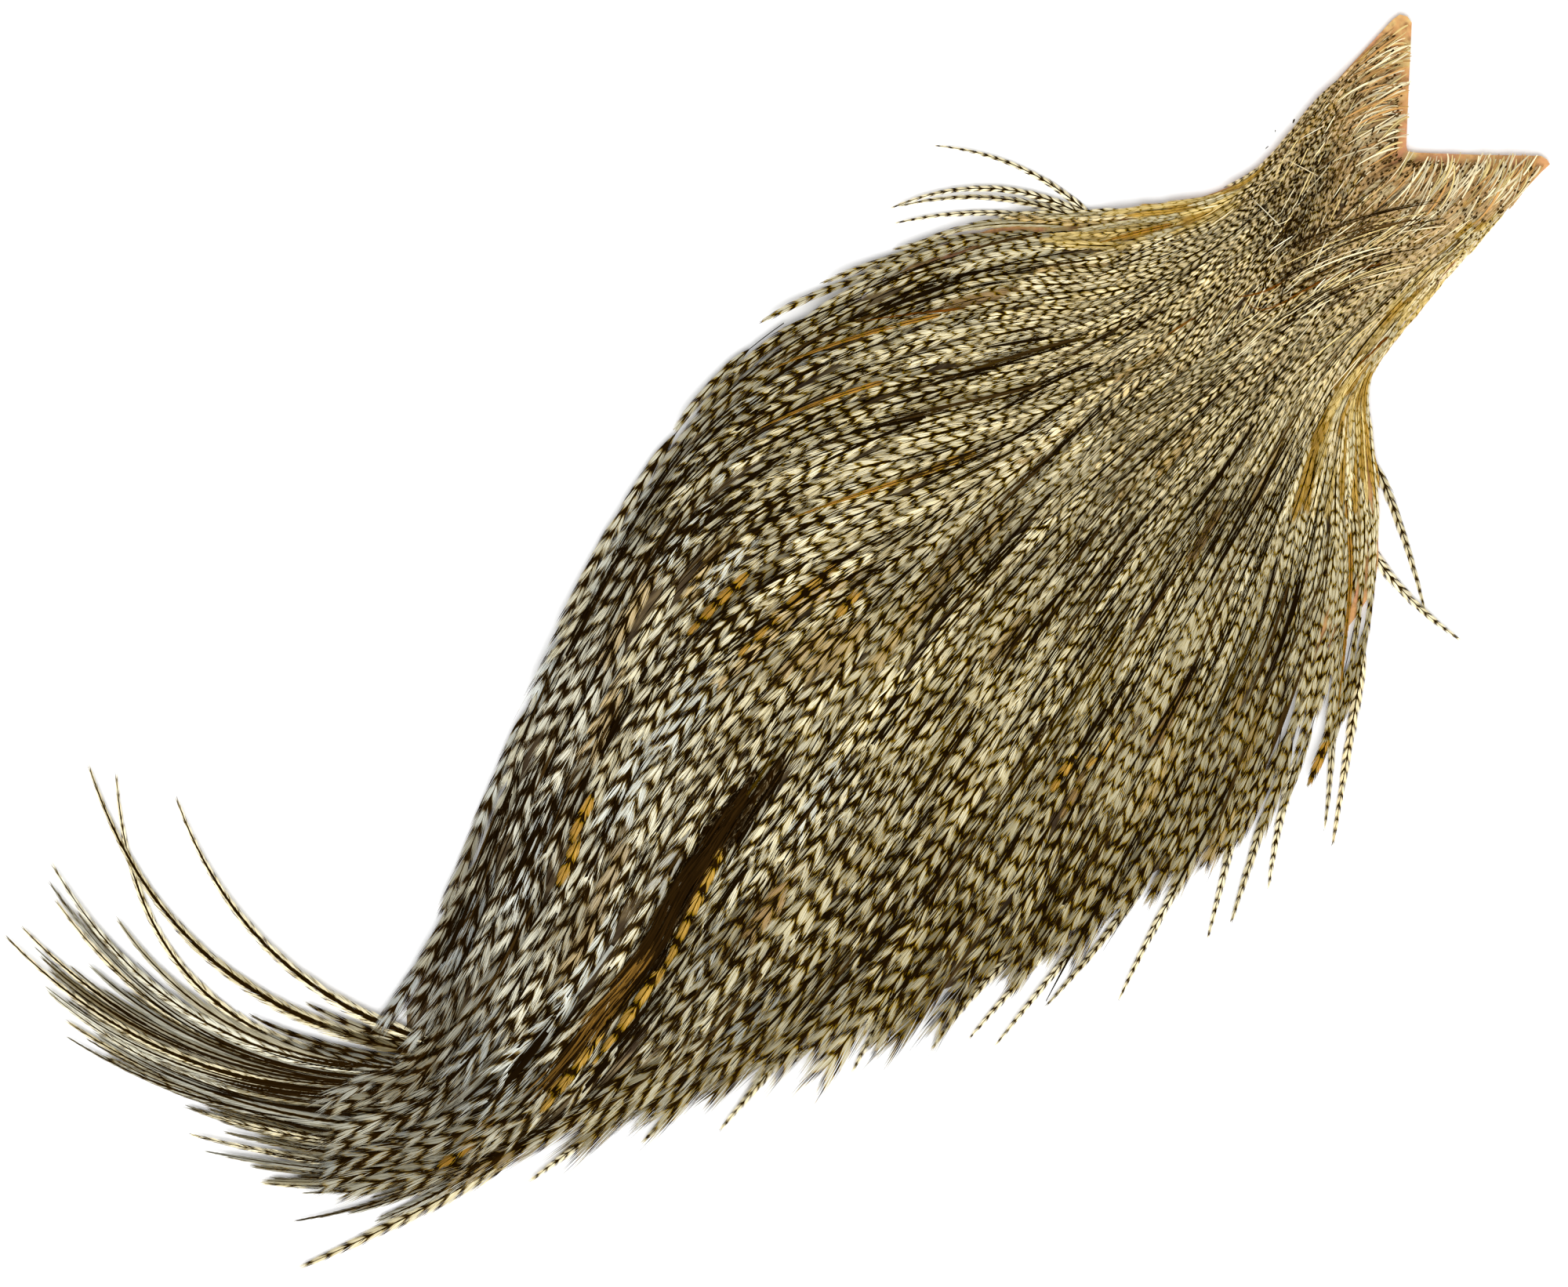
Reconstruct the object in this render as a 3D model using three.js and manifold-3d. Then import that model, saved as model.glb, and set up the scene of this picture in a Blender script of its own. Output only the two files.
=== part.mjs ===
// A rooster dry fly cape: the tanned neck hide of a rooster, lying flat, with its coat of
// barred hackles. Millimetres, +Z up, +Y towards the head end, +X to the cape's right.
// The origin is on the hide's underside, on the centreline, 120 mm behind the notch.
import * as THREE from 'three';
import { mergeVertices } from 'three/addons/utils/BufferGeometryUtils.js';
import Module from 'manifold-3d';

const wasm = await Module();
wasm.setup();

const SKIN_THICKNESS = 1.2;
const GAP = 0.3;

const COAT_START = 0.014;
const COAT_SIDE = 0.02;
const COAT_EDGE_HEIGHT = 2.3;
const LOCKS = 16;
const LOCK_RIDGE = 0.9;
const TIER_ENDS = [0.3, 0.54, 0.78, 1.0];
const TIER_STEP = 1.1;
const TIER_STAGGER = 0.03;
const LOCK_POINT = [0, 0.035, 0.05, 0.035];
const LOCK_ROUND = [0, 0.8, 1, 0.8];
const TIER_ROWS = [0.03, 0.2, 0.45, 0.7, 0.92, 1];

const BLADE_STEPS = 11;
const BLADE_HIDDEN = 9;
const BLADE_RIDGE = 0.9;
const BLADE_EDGE = 0.3;

const CREAM = 0xc4b896;
const BROWN = 0x6b5532;
const AMBER = 0x9a6a22;
const TAN = 0xd09a6c;

// Height of the coat's middle above the table, against the distance from head to hem.
const COAT_PROFILE = new THREE.SplineCurve([
  new THREE.Vector2(0, 3),
  new THREE.Vector2(0.15, 6.5),
  new THREE.Vector2(0.35, 12),
  new THREE.Vector2(0.55, 14.5),
  new THREE.Vector2(0.75, 12.5),
  new THREE.Vector2(0.9, 8),
  new THREE.Vector2(1, 3),
]);

// The lines that the hackles follow from the head to the hem, from the left edge to the right.
const FLOW = [
  [
    [-21.4, 138], [-21, 117], [-19.2, 87], [-33.6, 65], [-51, 40],
    [-62.6, -14], [-46, -79], [-18.5, -136], [-6, -169],
  ],
  [
    [-13.6, 133.6], [-13.5, 119], [-10.2, 89], [-19.3, 59], [-34.7, 28],
    [-43.4, -31.5], [-26, -92], [-2, -145], [5, -176],
  ],
  [
    [-5.4, 125.3], [-6.2, 113], [-2.5, 88.6], [-6.4, 60.7], [-13.6, 29],
    [-18.2, -29.6], [-5.2, -86], [12, -132], [13.8, -177],
  ],
  [
    [0.3, 120.2], [-0.2, 111], [3.4, 89], [5.3, 62.5], [4, 33.5],
    [7.4, -22.4], [18, -75.5], [28.7, -123.4], [26.5, -173],
  ],
  [
    [7.6, 126.6], [6.8, 114], [9.2, 89], [13.4, 66.4], [17.7, 41.3],
    [28, -9.5], [38, -55.6], [44.8, -93], [46.7, -129.5],
  ],
  [
    [15.5, 135.2], [16, 119], [18, 92.6], [22, 73.4], [30, 55],
    [44.8, 19], [56, -13.4], [65.5, -42], [72.5, -70],
  ],
  [
    [22.3, 141.6], [24.7, 121.3], [27.7, 97.3], [30.8, 83.3], [39.7, 75.7],
    [58.5, 61.7], [72, 45.4], [82, 30.5], [88.5, 18],
  ],
];

// Hackles that stand clear of the coat: root, tip, sideways bow at the middle (to the left going
// from root to tip), widest width, and the layer that they lie in.
const TAIL_HACKLES = [
  { root: [-6, -160], tip: [-71.7, -165.8], bow: 9.6, width: 5, layer: 2, color: CREAM },
  { root: [-8, -165], tip: [-89, -175.2], bow: 13.5, width: 5.5, layer: 1, color: AMBER },
  { root: [-6.5, -168.6], tip: [-84, -172.3], bow: 18.6, width: 5, layer: 0, color: BROWN },
  { root: [-4, -169], tip: [-78.7, -194.7], bow: 13, width: 6, layer: 2, color: CREAM },
  { root: [-3, -171.6], tip: [-72.6, -199.2], bow: 11, width: 5.5, layer: 1, color: BROWN },
  { root: [-3, -173.6], tip: [-73.3, -208.2], bow: 9.8, width: 5, layer: 0, color: CREAM },
  { root: [-2.4, -175.5], tip: [-74, -212], bow: 10.2, width: 5, layer: 2, color: BROWN },
  { root: [0, -178.8], tip: [-59.6, -213.2], bow: 8, width: 5.5, layer: 1, color: CREAM },
  { root: [4.5, -180], tip: [-52, -214.3], bow: 5.9, width: 5.5, layer: 0, color: BROWN },
  { root: [10, -183], tip: [-18.9, -206], bow: 1.5, width: 5, layer: 2, color: CREAM },
  { root: [17.6, -183], tip: [-17, -210.8], bow: 1.2, width: 5, layer: 1, color: CREAM },
  { root: [22.3, -174], tip: [1, -206.2], bow: 3, width: 5.5, layer: 0, color: AMBER },
  { root: [30, -170], tip: [19.6, -211.4], bow: 1, width: 4.5, layer: 0, color: BROWN },
];
const STRAY_HACKLES = [
  { root: [-35, 58.6], tip: [-67.5, 47.3], bow: -4.6, width: 2, layer: 0, color: BROWN },
  { root: [-39, 55.4], tip: [-64, 31.6], bow: -5.6, width: 2.2, layer: 1, color: CREAM },
  { root: [-42.7, 52.8], tip: [-63, 33.2], bow: -3, width: 2, layer: 2, color: BROWN },
  { root: [-42, 51], tip: [-61, 30], bow: -2.2, width: 2, layer: 0, color: CREAM },
  { root: [53, 68], tip: [75.2, 58.3], bow: 0.7, width: 2.4, layer: 0, color: BROWN },
  { root: [59, 60], tip: [84.3, 59.5], bow: -2.3, width: 3, layer: 1, color: CREAM },
  { root: [78.3, 36.4], tip: [98.7, 11], bow: 0, width: 3, layer: 0, color: AMBER },
  { root: [80, 27], tip: [95, 12], bow: 0.6, width: 2.4, layer: 1, color: BROWN },
  { root: [85.6, 9.7], tip: [96.5, -5.4], bow: -0.6, width: 2.6, layer: 0, color: CREAM },
  { root: [88, -1.4], tip: [96.6, -16], bow: 0, width: 2.6, layer: 1, color: CREAM },
  { root: [86, -7.5], tip: [95.8, -22], bow: 0, width: 2.4, layer: 0, color: BROWN },
  { root: [84, -20], tip: [93, -44.8], bow: -0.5, width: 2.6, layer: 1, color: CREAM },
  { root: [79, -30], tip: [83.8, -57], bow: 0.8, width: 2.6, layer: 0, color: CREAM },
  { root: [77, -35], tip: [82.8, -70.7], bow: 0, width: 2.8, layer: 1, color: BROWN },
  { root: [75, -49], tip: [78, -73.8], bow: 0, width: 2.6, layer: 0, color: CREAM },
  { root: [72, -56], tip: [74.2, -81], bow: -1.3, width: 2.8, layer: 1, color: BROWN },
  { root: [60, -80], tip: [66.5, -97], bow: 0, width: 2.6, layer: 0, color: CREAM },
  { root: [54, -105], tip: [57, -126], bow: 0, width: 3, layer: 1, color: CREAM },
  { root: [47, -122], tip: [48, -140], bow: 0, width: 3, layer: 0, color: BROWN },
  { root: [40, -145], tip: [38.2, -163.3], bow: 0, width: 3, layer: 1, color: CREAM },
];

const flowCurves = FLOW.map((line) => new THREE.CatmullRomCurve3(
  line.map(([x, y]) => new THREE.Vector3(x, y, 0))));

// A point of the coat's plan: s runs from the left edge to the right, t from head to hem.
function flowPoint(s, t) {
  const row = flowCurves.map((curve) => curve.getPointAt(t));
  return new THREE.CatmullRomCurve3(row).getPoint(s);
}

function coatHeight(s, t) {
  const across = 1 - Math.abs(2 * s - 1) ** 2.6;
  const middle = COAT_PROFILE.getPoint(t).y;
  return COAT_EDGE_HEIGHT + (middle - COAT_EDGE_HEIGHT) * across;
}

function toSolid(geometry) {
  const bare = geometry.clone();
  bare.deleteAttribute('normal');
  bare.deleteAttribute('uv');
  const merged = mergeVertices(bare, 1e-4);
  return new wasm.Manifold(new wasm.Mesh({
    numProp: 3,
    vertProperties: new Float32Array(merged.attributes.position.array),
    triVerts: new Uint32Array(merged.index.array),
  }));
}

function toGeometry(solid) {
  const mesh = solid.getMesh();
  const geometry = new THREE.BufferGeometry();
  geometry.setAttribute('position', new THREE.BufferAttribute(new Float32Array(mesh.vertProperties), 3));
  geometry.setIndex(new THREE.BufferAttribute(new Uint32Array(mesh.triVerts), 1));
  return geometry;
}

// The largest body of a solid that a cut may have left in several.
function mainBody(solid) {
  const bodies = solid.decompose();
  return bodies.reduce((best, body) => (body.volume() > best.volume() ? body : best));
}

// A closed outline moved outwards by a distance, with mitred corners.
function grown(outline, distance) {
  const count = outline.length;
  const turn = THREE.ShapeUtils.area(outline) > 0 ? 1 : -1;
  const outward = (from, to) => {
    const along = to.clone().sub(from).normalize();
    return new THREE.Vector2(turn * along.y, -turn * along.x);
  };
  return outline.map((point, i) => {
    const before = outward(outline[(i + count - 1) % count], point);
    const after = outward(point, outline[(i + 1) % count]);
    const corner = before.clone().add(after).normalize();
    return point.clone().addScaledVector(corner, distance / Math.max(0.4, corner.dot(before)));
  });
}

function prism(outline, low, high) {
  const depth = high - low;
  const geometry = new THREE.ExtrudeGeometry(new THREE.Shape(outline), { depth, bevelEnabled: false });
  geometry.translate(0, 0, low);
  return toSolid(geometry);
}

// The hide: ears and notch at the head, a narrow neck, broad shoulders and a rounded lower end.
function skinOutline() {
  const shape = new THREE.Shape();
  shape.moveTo(-19.4, 139.7);
  shape.quadraticCurveTo(-22.6, 140, -22.8, 137.1);
  shape.splineThru([
    [-21.8, 116], [-20.2, 91], [-33.5, 65.5], [-50, 42], [-55.5, 15], [-52, -15], [-40, -50], [-18, -78],
    [8, -86], [34, -70], [52, -35], [64, 5], [70, 36],
    [65.5, 56], [48, 71], [32, 82], [27.8, 100], [23.4, 140],
  ].map(([x, y]) => new THREE.Vector2(x, y)));
  shape.quadraticCurveTo(23, 142.4, 20, 141.2);
  shape.lineTo(1.4, 121.6);
  shape.quadraticCurveTo(0.3, 120, -0.8, 121.4);
  shape.closePath();
  return shape.getPoints(5).slice(0, -1);
}

// The coat: a mound that follows the flow lines, ridged into locks whose pointed ends overlap
// in tiers like shingles, down to a hem of points on the table.
function coatGeometry() {
  const columns = LOCKS * LOCK_POINT.length;
  const top = [];
  for (let c = 0; c <= columns; c += 1) {
    const lock = Math.floor(c / LOCK_POINT.length);
    const place = c % LOCK_POINT.length;
    const s = COAT_SIDE + (1 - 2 * COAT_SIDE) * (c / columns);
    const column = [];
    let start = COAT_START;
    TIER_ENDS.forEach((tierEnd, tier) => {
      const last = tier === TIER_ENDS.length - 1;
      const stagger = last ? 0 : (lock % 2 ? -TIER_STAGGER : TIER_STAGGER) * (place ? 1 : 0);
      const end = tierEnd + stagger - LOCK_POINT[2] + LOCK_POINT[place];
      TIER_ROWS.forEach((fraction, row) => {
        const first = tier === 0 && row === 0;
        const t = first ? start : start + (end - start) * fraction;
        const rim = c === 0 || c === columns || first || (last && fraction === 1);
        const rise = LOCK_RIDGE * LOCK_ROUND[place] + TIER_STEP * (fraction - 0.5);
        const plan = flowPoint(s, t);
        const height = rim ? COAT_EDGE_HEIGHT : coatHeight(s, t) + rise;
        column.push(new THREE.Vector3(plan.x, plan.y, Math.max(height, COAT_EDGE_HEIGHT)));
      });
      start = end;
    });
    top.push(column);
  }
  const rows = top[0].length;
  const rim = [];
  for (let c = 0; c < columns; c += 1) rim.push(top[c][0]);
  for (let r = 0; r < rows - 1; r += 1) rim.push(top[columns][r]);
  for (let c = columns; c > 0; c -= 1) rim.push(top[c][rows - 1]);
  for (let r = rows - 1; r > 0; r -= 1) rim.push(top[0][r]);
  const outline = rim.map((p) => new THREE.Vector2(p.x, p.y));

  const positions = [];
  const triangle = (a, b, c) => positions.push(...a.toArray(), ...b.toArray(), ...c.toArray());
  for (let c = 0; c < columns; c += 1) {
    for (let r = 0; r < rows - 1; r += 1) {
      triangle(top[c][r], top[c][r + 1], top[c + 1][r]);
      triangle(top[c + 1][r], top[c][r + 1], top[c + 1][r + 1]);
    }
  }
  const foot = rim.map((p) => new THREE.Vector3(p.x, p.y, 0));
  rim.forEach((p, i) => {
    const j = (i + 1) % rim.length;
    triangle(p, rim[j], foot[i]);
    triangle(rim[j], foot[j], foot[i]);
  });
  THREE.ShapeUtils.triangulateShape(outline, []).forEach(([a, b, c]) => {
    triangle(foot[a], foot[c], foot[b]);
  });
  const geometry = new THREE.BufferGeometry();
  geometry.setAttribute('position', new THREE.Float32BufferAttribute(positions, 3));
  return { geometry, outline };
}

// A single hackle: a bowed blade, keeled along its quill, narrow at the root, which starts under
// the coat, and drawn out to a point at the tip.
function hackleGeometry({ root, tip, bow, width, layer }) {
  const to = new THREE.Vector2(...tip);
  const along = to.clone().sub(new THREE.Vector2(...root)).normalize();
  const from = new THREE.Vector2(...root).addScaledVector(along, -BLADE_HIDDEN);
  const sideways = new THREE.Vector2(-along.y, along.x).multiplyScalar(2 * bow);
  const bend = from.clone().add(to).multiplyScalar(0.5).add(sideways);
  const quill = new THREE.QuadraticBezierCurve(from, bend, to);
  const base = layer * (BLADE_RIDGE + GAP);
  const rings = [];
  for (let i = 0; i <= BLADE_STEPS; i += 1) {
    const u = i / BLADE_STEPS;
    const p = quill.getPoint(u);
    const side = quill.getTangent(u);
    const half = 0.5 * width * Math.max(u < 0.5 ? 0.4 : 0.1, Math.sin(Math.PI * u ** 0.8) ** 0.7);
    const keel = BLADE_RIDGE * (1 - 0.6 * u);
    rings.push([
      new THREE.Vector3(p.x, p.y, base),
      new THREE.Vector3(p.x + side.y * half, p.y - side.x * half, base + BLADE_EDGE * (1 - 0.5 * u)),
      new THREE.Vector3(p.x, p.y, base + keel),
      new THREE.Vector3(p.x - side.y * half, p.y + side.x * half, base + BLADE_EDGE * (1 - 0.5 * u)),
    ]);
  }
  const positions = [];
  const triangle = (a, b, c) => positions.push(...a.toArray(), ...b.toArray(), ...c.toArray());
  for (let i = 0; i < BLADE_STEPS; i += 1) {
    for (let k = 0; k < 4; k += 1) {
      const n = (k + 1) % 4;
      triangle(rings[i][k], rings[i + 1][k], rings[i][n]);
      triangle(rings[i][n], rings[i + 1][k], rings[i + 1][n]);
    }
  }
  const [a, b, c, d] = rings[0];
  triangle(a, b, c);
  triangle(a, c, d);
  const [e, f, g, h] = rings[BLADE_STEPS];
  triangle(e, g, f);
  triangle(e, h, g);
  const geometry = new THREE.BufferGeometry();
  geometry.setAttribute('position', new THREE.Float32BufferAttribute(positions, 3));
  return geometry;
}

const cape = new THREE.Group();

function addMesh(name, solid, color, roughness) {
  const material = new THREE.MeshStandardMaterial({ color, roughness, metalness: 0 });
  const mesh = new THREE.Mesh(toGeometry(solid), material);
  mesh.name = name;
  cape.add(mesh);
}

const hide = skinOutline();
const hideBlock = prism(grown(hide, GAP), -5, SKIN_THICKNESS + GAP);
addMesh('skin', prism(hide, 0, SKIN_THICKNESS), TAN, 0.7);

const coat = coatGeometry();
const coatBlock = prism(grown(coat.outline, GAP), -5, 40);
addMesh('coat', mainBody(toSolid(coat.geometry).subtract(hideBlock)), CREAM, 0.75);

function addHackle(prefix, hackle, index) {
  const whole = toSolid(hackleGeometry(hackle));
  const clear = mainBody(whole.subtract(coatBlock).subtract(hideBlock));
  addMesh(`${prefix}_${String(index + 1).padStart(2, '0')}`, clear, hackle.color, 0.75);
}

TAIL_HACKLES.forEach((hackle, index) => addHackle('tail_hackle', hackle, index));
STRAY_HACKLES.forEach((hackle, index) => addHackle('stray_hackle', hackle, index));

export default cape;
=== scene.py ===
"""A rooster dry fly cape lying flat: the tanned neck hide and its coat of barred hackles."""
import logging
import math
from dataclasses import dataclass, field
from enum import Enum
from typing import Any, ClassVar, Sequence

import bpy
import numpy as np
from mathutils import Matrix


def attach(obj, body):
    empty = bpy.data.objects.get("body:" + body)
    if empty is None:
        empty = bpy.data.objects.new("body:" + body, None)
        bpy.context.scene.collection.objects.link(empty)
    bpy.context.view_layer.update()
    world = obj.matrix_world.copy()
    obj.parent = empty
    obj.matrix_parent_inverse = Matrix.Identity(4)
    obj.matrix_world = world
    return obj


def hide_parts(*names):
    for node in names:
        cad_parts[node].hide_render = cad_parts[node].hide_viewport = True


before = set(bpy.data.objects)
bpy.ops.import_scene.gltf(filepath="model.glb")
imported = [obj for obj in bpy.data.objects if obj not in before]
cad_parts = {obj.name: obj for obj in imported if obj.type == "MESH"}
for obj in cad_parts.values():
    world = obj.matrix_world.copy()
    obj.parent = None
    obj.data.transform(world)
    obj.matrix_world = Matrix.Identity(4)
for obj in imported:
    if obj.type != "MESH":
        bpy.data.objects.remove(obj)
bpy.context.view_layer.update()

MM = 0.001
BODY = "root"
log = logging.getLogger("cape")

Pair = tuple[float, float]
Colour = tuple[float, float, float]

# The lines that the hackles follow from the notch to the hem, left edge first, in mm.
FLOW_LINES: tuple[tuple[Pair, ...], ...] = (
    ((-21.4, 138), (-21, 117), (-19.2, 87), (-33.6, 65), (-51, 40), (-62.6, -14), (-46, -79), (-18.5, -136),
     (-6, -169)),
    ((-11, 131), (-13.5, 119), (-10.2, 89), (-19.3, 59), (-34.7, 28), (-43.4, -31.5), (-26, -92), (-2, -145),
     (4.5, -167), (-1, -183)),
    ((-4, 124), (-6.2, 113), (-2.5, 88.6), (-6.4, 60.7), (-13.6, 29), (-18.2, -29.6), (-5.2, -86), (12, -132),
     (15, -167), (6, -192)),
    ((0.3, 120.2), (-0.2, 111), (3.4, 89), (5.3, 62.5), (4, 33.5), (7.4, -22.4), (18, -75.5), (28.7, -123.4),
     (31, -156), (21, -187)),
    ((6, 125.2), (6.8, 114), (9.2, 89), (13.4, 66.4), (17.7, 41.3), (28, -9.5), (38, -55.6), (44.8, -93),
     (46.7, -129.5)),
    ((13, 132.6), (16, 119), (18, 92.6), (22, 73.4), (30, 55), (44.8, 19), (56, -13.4), (65.5, -42),
     (72.5, -70)),
    ((22.3, 141.6), (24.7, 121.3), (27.7, 97.3), (30.8, 83.3), (39.7, 75.7), (58.5, 61.7), (72, 45.4),
     (82, 30.5), (88.5, 18)),
)

# The dark crown of the head: its middle and its half length and width in mm, and the way that it runs.
CROWN: Pair = (-6.0, 95.0)
CROWN_SIZE: Pair = (15.0, 6.5)
CROWN_WAY: Pair = (0.35, -0.937)
CROWN_SIDE: Pair = (0.937, 0.35)

# No hair of the head lies lower than this above the table, in mm.
HIDE_TOP: float = 1.6


def linear(red: int, green: int, blue: int) -> Colour:
    """Scene-linear colour of an 8-bit display colour.

    Args:
        red: Red, 0 to 255.
        green: Green, 0 to 255.
        blue: Blue, 0 to 255.

    Returns:
        The linear colour.
    """
    return tuple(((v / 255 + 0.055) / 1.055) ** 2.4 if v > 10 else v / 255 / 12.92
                 for v in (red, green, blue))


def ease(value: float, low: float, high: float) -> float:
    """0 up to low, 1 from high on, and even between them."""
    return float(np.clip((value - low) / (high - low), 0, 1))


def lengths_along(points: np.ndarray) -> np.ndarray:
    """Distances of a line's points from its start, in plan."""
    return np.concatenate([[0], np.cumsum(np.linalg.norm(np.diff(points[:, :2], axis=0), axis=1))])


def scaled(colour: Colour, factor: float) -> Colour:
    """A colour made lighter or darker."""
    return tuple(np.array(colour) * factor)


def smooth_line(points: np.ndarray, count: int) -> np.ndarray:
    """Even steps along a smooth curve through some points.

    Args:
        points: The points, one per row.
        count: How many steps to return.

    Returns:
        The points at even distances along the curve.
    """
    ends = np.vstack([2 * points[0] - points[1], points, 2 * points[-1] - points[-2]])
    knots = np.concatenate([[0], np.cumsum(np.linalg.norm(np.diff(ends, axis=0), axis=1) ** 0.5)])
    runs = []
    for i in range(1, len(ends) - 2):
        k0, k1, k2, k3 = knots[i - 1:i + 3]
        p0, p1, p2, p3 = ends[i - 1:i + 3]
        k = np.linspace(k1, k2, 24, endpoint=False)[:, None]
        a1 = (k1 - k) / (k1 - k0) * p0 + (k - k0) / (k1 - k0) * p1
        a2 = (k2 - k) / (k2 - k1) * p1 + (k - k1) / (k2 - k1) * p2
        a3 = (k3 - k) / (k3 - k2) * p2 + (k - k2) / (k3 - k2) * p3
        b1 = (k2 - k) / (k2 - k0) * a1 + (k - k0) / (k2 - k0) * a2
        b2 = (k3 - k) / (k3 - k1) * a2 + (k - k1) / (k3 - k1) * a3
        runs.append((k2 - k) / (k2 - k1) * b1 + (k - k1) / (k2 - k1) * b2)
    line = np.vstack(runs + [points[-1:]])
    reach = lengths_along(line)
    even = np.linspace(0, reach[-1], count)
    return np.stack([np.interp(even, reach, line[:, axis]) for axis in range(points.shape[1])], axis=1)


@dataclass(frozen=True)
class Ramp:
    """A number that changes evenly from one place to the next."""

    places: tuple[float, ...]
    numbers: tuple[float, ...]

    def __call__(self, place: Any) -> Any:
        """The number at a place."""
        return np.interp(place, self.places, self.numbers)


@dataclass
class Flow:
    """The plan of the coat: s runs from the left edge to the right, t from the notch to the hem."""

    lines: Sequence[Sequence[Pair]] = FLOW_LINES
    columns: int = 97
    rows: int = 193
    grid: np.ndarray = field(init=False)
    lengths: np.ndarray = field(init=False)

    def __post_init__(self) -> None:
        """Weave the lines into an even grid of points."""
        guides = np.stack([smooth_line(np.array(line, float), self.rows) for line in self.lines])
        ends = np.concatenate([2 * guides[:1] - guides[1:2], guides, 2 * guides[-1:] - guides[-2:-1]])
        place = np.linspace(0, len(guides) - 1, self.columns)
        i = np.minimum(place.astype(int), len(guides) - 2)
        f = (place - i)[:, None, None]
        p0, p1, p2, p3 = (ends[i + k] for k in range(4))
        self.grid = 0.5 * (2 * p1 + (p2 - p0) * f + (2 * p0 - 5 * p1 + 4 * p2 - p3) * f ** 2
                           + (3 * p1 - p0 - 3 * p2 + p3) * f ** 3)
        self.lengths = np.linalg.norm(np.diff(self.grid, axis=1), axis=2).sum(axis=1)

    def plan(self, s: np.ndarray, t: np.ndarray) -> np.ndarray:
        """Plan points in mm.

        Args:
            s: Places across, 0 to 1, or a little outside.
            t: Places along, 0 to 1, or a little outside.

        Returns:
            One x, y pair per place.
        """
        x = np.asarray(s, float) * (self.columns - 1)
        y = np.asarray(t, float) * (self.rows - 1)
        i = np.clip(np.floor(x).astype(int), 0, self.columns - 2)
        j = np.clip(np.floor(y).astype(int), 0, self.rows - 2)
        fx, fy = (x - i)[..., None], (y - j)[..., None]
        near = self.grid[i, j] * (1 - fx) + self.grid[i + 1, j] * fx
        far = self.grid[i, j + 1] * (1 - fx) + self.grid[i + 1, j + 1] * fx
        return near * (1 - fy) + far * fy

    def length(self, s: np.ndarray) -> np.ndarray:
        """Length in mm of the flow line at each s."""
        return np.interp(s, np.linspace(0, 1, self.columns), self.lengths)

    def width(self, s: Any, t: Any, step: float = 0.01) -> Any:
        """Width in mm of the whole coat, as one step of s to either side gives it."""
        return np.linalg.norm(self.plan(s + step, t) - self.plan(s - step, t), axis=-1) / (2 * step)

    def locate(self, points: np.ndarray) -> tuple[np.ndarray, np.ndarray]:
        """The s and t of the grid point nearest to each plan point."""
        flat = self.grid.reshape(-1, 2)
        near = np.array([np.argmin(((flat - p) ** 2).sum(axis=1)) for p in points])
        return near // self.rows / (self.columns - 1), near % self.rows / (self.rows - 1)


@dataclass
class Mound:
    """The height of the coat's outside above the table, in mm."""

    edge: float = 2.3
    crown: tuple[float, ...] = (3, 6.5, 12, 14.5, 12.5, 8, 3)
    roundness: float = 2.6

    def __post_init__(self) -> None:
        """Smooth the heights along the middle, from the notch to the hem."""
        self.profile = smooth_line(np.column_stack([np.linspace(0, 1, len(self.crown)), self.crown]), 80)

    def height(self, s: np.ndarray, t: np.ndarray) -> np.ndarray:
        """Heights in mm at places of the coat."""
        middle = np.interp(t, self.profile[:, 0], self.profile[:, 1])
        across = 1 - np.clip(np.abs(2 * np.asarray(s) - 1), 0, 1) ** self.roundness
        return self.edge + (middle - self.edge) * across


class Value:
    """A shader value that Python arithmetic turns into Math nodes."""

    def __init__(self, graph: "Graph", socket: bpy.types.NodeSocket) -> None:
        """Hold a socket and the graph that it is in."""
        self.graph = graph
        self.socket = socket

    def __add__(self, other: Any) -> "Value":
        """Sum."""
        return self.graph.math("ADD", self, other)

    __radd__ = __add__

    def __sub__(self, other: Any) -> "Value":
        """Difference."""
        return self.graph.math("SUBTRACT", self, other)

    def __rsub__(self, other: Any) -> "Value":
        """Difference, taken from a number."""
        return self.graph.math("SUBTRACT", other, self)

    def __mul__(self, other: Any) -> "Value":
        """Product."""
        return self.graph.math("MULTIPLY", self, other)

    __rmul__ = __mul__

    def __abs__(self) -> "Value":
        """Size without sign."""
        return self.graph.math("ABSOLUTE", self, 0.0)


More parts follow.
